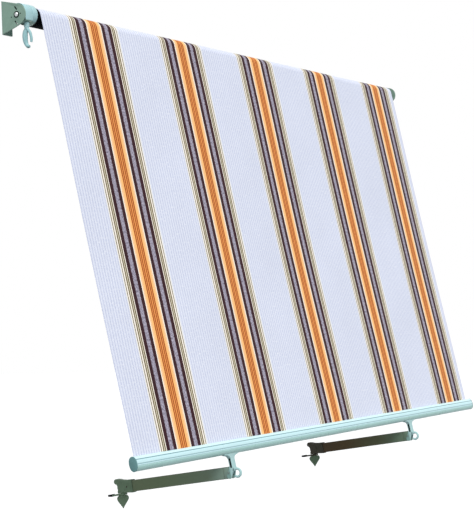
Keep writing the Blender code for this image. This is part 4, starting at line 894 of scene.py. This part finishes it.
def smooth_copy(name):
    """A joined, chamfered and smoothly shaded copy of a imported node, which rides and shows in its place."""
    family = max((key for key in CHAMFERS if name.startswith(key)), key=len, default=None)
    chamfer = CHAMFERS.get(family, USUAL_CHAMFER)
    bm = bmesh.new()
    bm.from_mesh(nodes[name].data)
    bmesh.ops.remove_doubles(bm, verts=bm.verts[:], dist=1e-5)
    bmesh.ops.dissolve_degenerate(bm, edges=bm.edges[:], dist=1e-6)
    bmesh.ops.dissolve_limit(bm, angle_limit=FLAT_WITHIN, verts=bm.verts[:], edges=bm.edges[:])
    if chamfer:
        sharp = [e for e in bm.edges if len(e.link_faces) == 2 and e.calc_face_angle() > CHAMFER_FROM]
        bmesh.ops.bevel(bm, geom=sharp, offset=chamfer, offset_type="OFFSET", affect="EDGES", segments=1,
                        profile=0.5, material=-1, clamp_overlap=True)
    # Recessed faces are marked here for painted shade.
    deep = bm.faces.layers.float.new("deep")
    for face in bm.faces:
        face[deep] = float(is_deep(name, face))
    piece = finish_piece(name + "_finished", bm, finishes[OWN_FINISH.get(name, slots[name])])
    piece.data.shade_smooth()
    piece.data.set_sharp_from_angle(angle=SHARP_FROM)
    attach(piece, body_of_node[name])
    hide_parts(name)
    return piece


finished = [smooth_copy(name) for name in sorted(nodes) if name != "fabric"]
print("finished pieces:", len(finished))

# %% [markdown]
# ## Wall screws
#
# Each flange is held by two screws whose pan heads lie on its front face, inside the bracket. A turned
# piece like this is made by spinning half its outline: a shank in the flange's hole, a low dome, and a
# round socket for the driver in its middle.

# %% Make the wall screws
PLATE = 0.004
HEAD_OUTLINE = [(0.0029, 0.0001), (0.0056, 0.0001), (0.0056, 0.0012), (0.0048, 0.0024), (0.0030, 0.0031),
                (0.0017, 0.0033), (0.0016, 0.0016), (0.0, 0.0016)]
ANCHOR_MIDDLES = {"left": 0.003, "right": 2.401}
ANCHOR_RISES = {"upper": 0.028, "lower": -0.028}


def wall_screw(side, row):
    """A screw with its head on the flange and its shank in the flange's hole."""
    outline = [(0.0, 0.0), (HEAD_OUTLINE[0][0], 0.0)]
    outline += [(radius, PLATE + height) for radius, height in HEAD_OUTLINE]
    bm = bmesh.new()
    chain = [bm.verts.new((radius, 0, height)) for radius, height in outline]
    rim = [bm.edges.new(pair) for pair in zip(chain, chain[1:])]
    bmesh.ops.spin(bm, geom=chain + rim, cent=(0, 0, 0), axis=(0, 0, 1), angle=tau, steps=24, use_merge=True)
    bmesh.ops.remove_doubles(bm, verts=bm.verts[:], dist=1e-6)
    place = Matrix.Translation((ANCHOR_MIDDLES[side], 0, ANCHOR_RISES[row]))
    bmesh.ops.transform(bm, matrix=place @ Matrix.Rotation(radians(90), 4, "X"), verts=bm.verts[:])
    bmesh.ops.recalc_face_normals(bm, faces=bm.faces[:])
    screw = finish_piece(f"wall_screw_{side}_{row}", bm, finishes["bright_steel"])
    screw.data.shade_smooth()
    screw.data.set_sharp_from_angle(angle=radians(40))
    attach(screw, "frame")
    return screw


screws = [wall_screw(side, row) for side in ANCHOR_MIDDLES for row in ANCHOR_RISES]
print("wall screws:", len(screws))

# %% [markdown]
# ## Rubber boots on the lips
#
# The end of each lip that grips the railing wears a black rubber boot, so that it neither slips nor
# scratches. It is made from the lip itself, and so it fits: a copy is cut off behind the tip, its cut end is
# left open, and the skin that remains is moved outward by a small gap and thickened.

# %% Make the lip boots
BOOT_START = 0.0780
BOOT_GAP = 0.0002
BOOT_THICKNESS = 0.0018


def lip_boot(side):
    """A thin rubber shell over the tip of one lip."""
    bm = bmesh.new()
    bm.from_mesh(nodes["rail_lip_" + side].data)
    bmesh.ops.remove_doubles(bm, verts=bm.verts[:], dist=1e-5)
    bmesh.ops.bisect_plane(bm, geom=bm.verts[:] + bm.edges[:] + bm.faces[:], plane_co=(0, BOOT_START, 0),
                           plane_no=(0, 1, 0), clear_inner=True)
    bmesh.ops.dissolve_limit(bm, angle_limit=radians(1), verts=bm.verts[:], edges=bm.edges[:])
    bm.normal_update()
    for vert in bm.verts:
        vert.co += vert.normal * BOOT_GAP
    bmesh.ops.solidify(bm, geom=bm.faces[:], thickness=-BOOT_THICKNESS)
    bmesh.ops.recalc_face_normals(bm, faces=bm.faces[:])
    boot = finish_piece("lip_boot_" + side, bm, finishes["roller_black"])
    boot.data.set_sharp_from_angle(angle=radians(30))
    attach(boot, body_of_node["rail_lip_" + side])
    return boot


boots = [lip_boot(side) for side in arm_middles]
print("lip boots:", [len(boot.data.polygons) for boot in boots], "faces")

# %% [markdown]
# ## Clamp rivets
#
# One rivet through each socket keeps the clamp on its arm. Its two heads lie on the socket's sides, and
# their places are found by looking from outside along X until the finished clamp is met. Each head is a
# shallow dome made from a sphere that is pressed flat.

# %% Make the clamp rivets
RIVET_RADIUS = 0.0027
RIVET_HEIGHT = 0.0009
RIVET_REACH = 0.3855
LOOK_FROM = 0.1

rivet_spot = arm_pivot + RIVET_REACH * Vector((0, arm_up.z, -arm_up.y))


def rivet_heads(side):
    """The two heads of one clamp's rivet."""
    clamp = bpy.data.objects[f"rail_jaw_{side}_finished"].data
    clamp_tree = BVHTree.FromPolygons([vert.co for vert in clamp.vertices],
                                      [face.vertices for face in clamp.polygons])
    flat = Matrix.Diagonal((RIVET_HEIGHT / RIVET_RADIUS, 1, 1, 1))
    bm = bmesh.new()
    for outside in (-1, 1):
        start = Vector((arm_middles[side] + outside * LOOK_FROM, *rivet_spot.yz))
        spot = clamp_tree.ray_cast(start, Vector((-outside, 0, 0)))[0]
        bmesh.ops.create_uvsphere(bm, u_segments=20, v_segments=12, radius=RIVET_RADIUS,
                                  matrix=Matrix.Translation(spot) @ flat)
    heads = finish_piece("clamp_rivet_" + side, bm, finishes["dark_steel"])
    heads.data.shade_smooth()
    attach(heads, body_of_node["rail_jaw_" + side])
    return heads


rivets = [rivet_heads(side) for side in arm_middles]
print("clamp rivets:", len(rivets), "pairs")
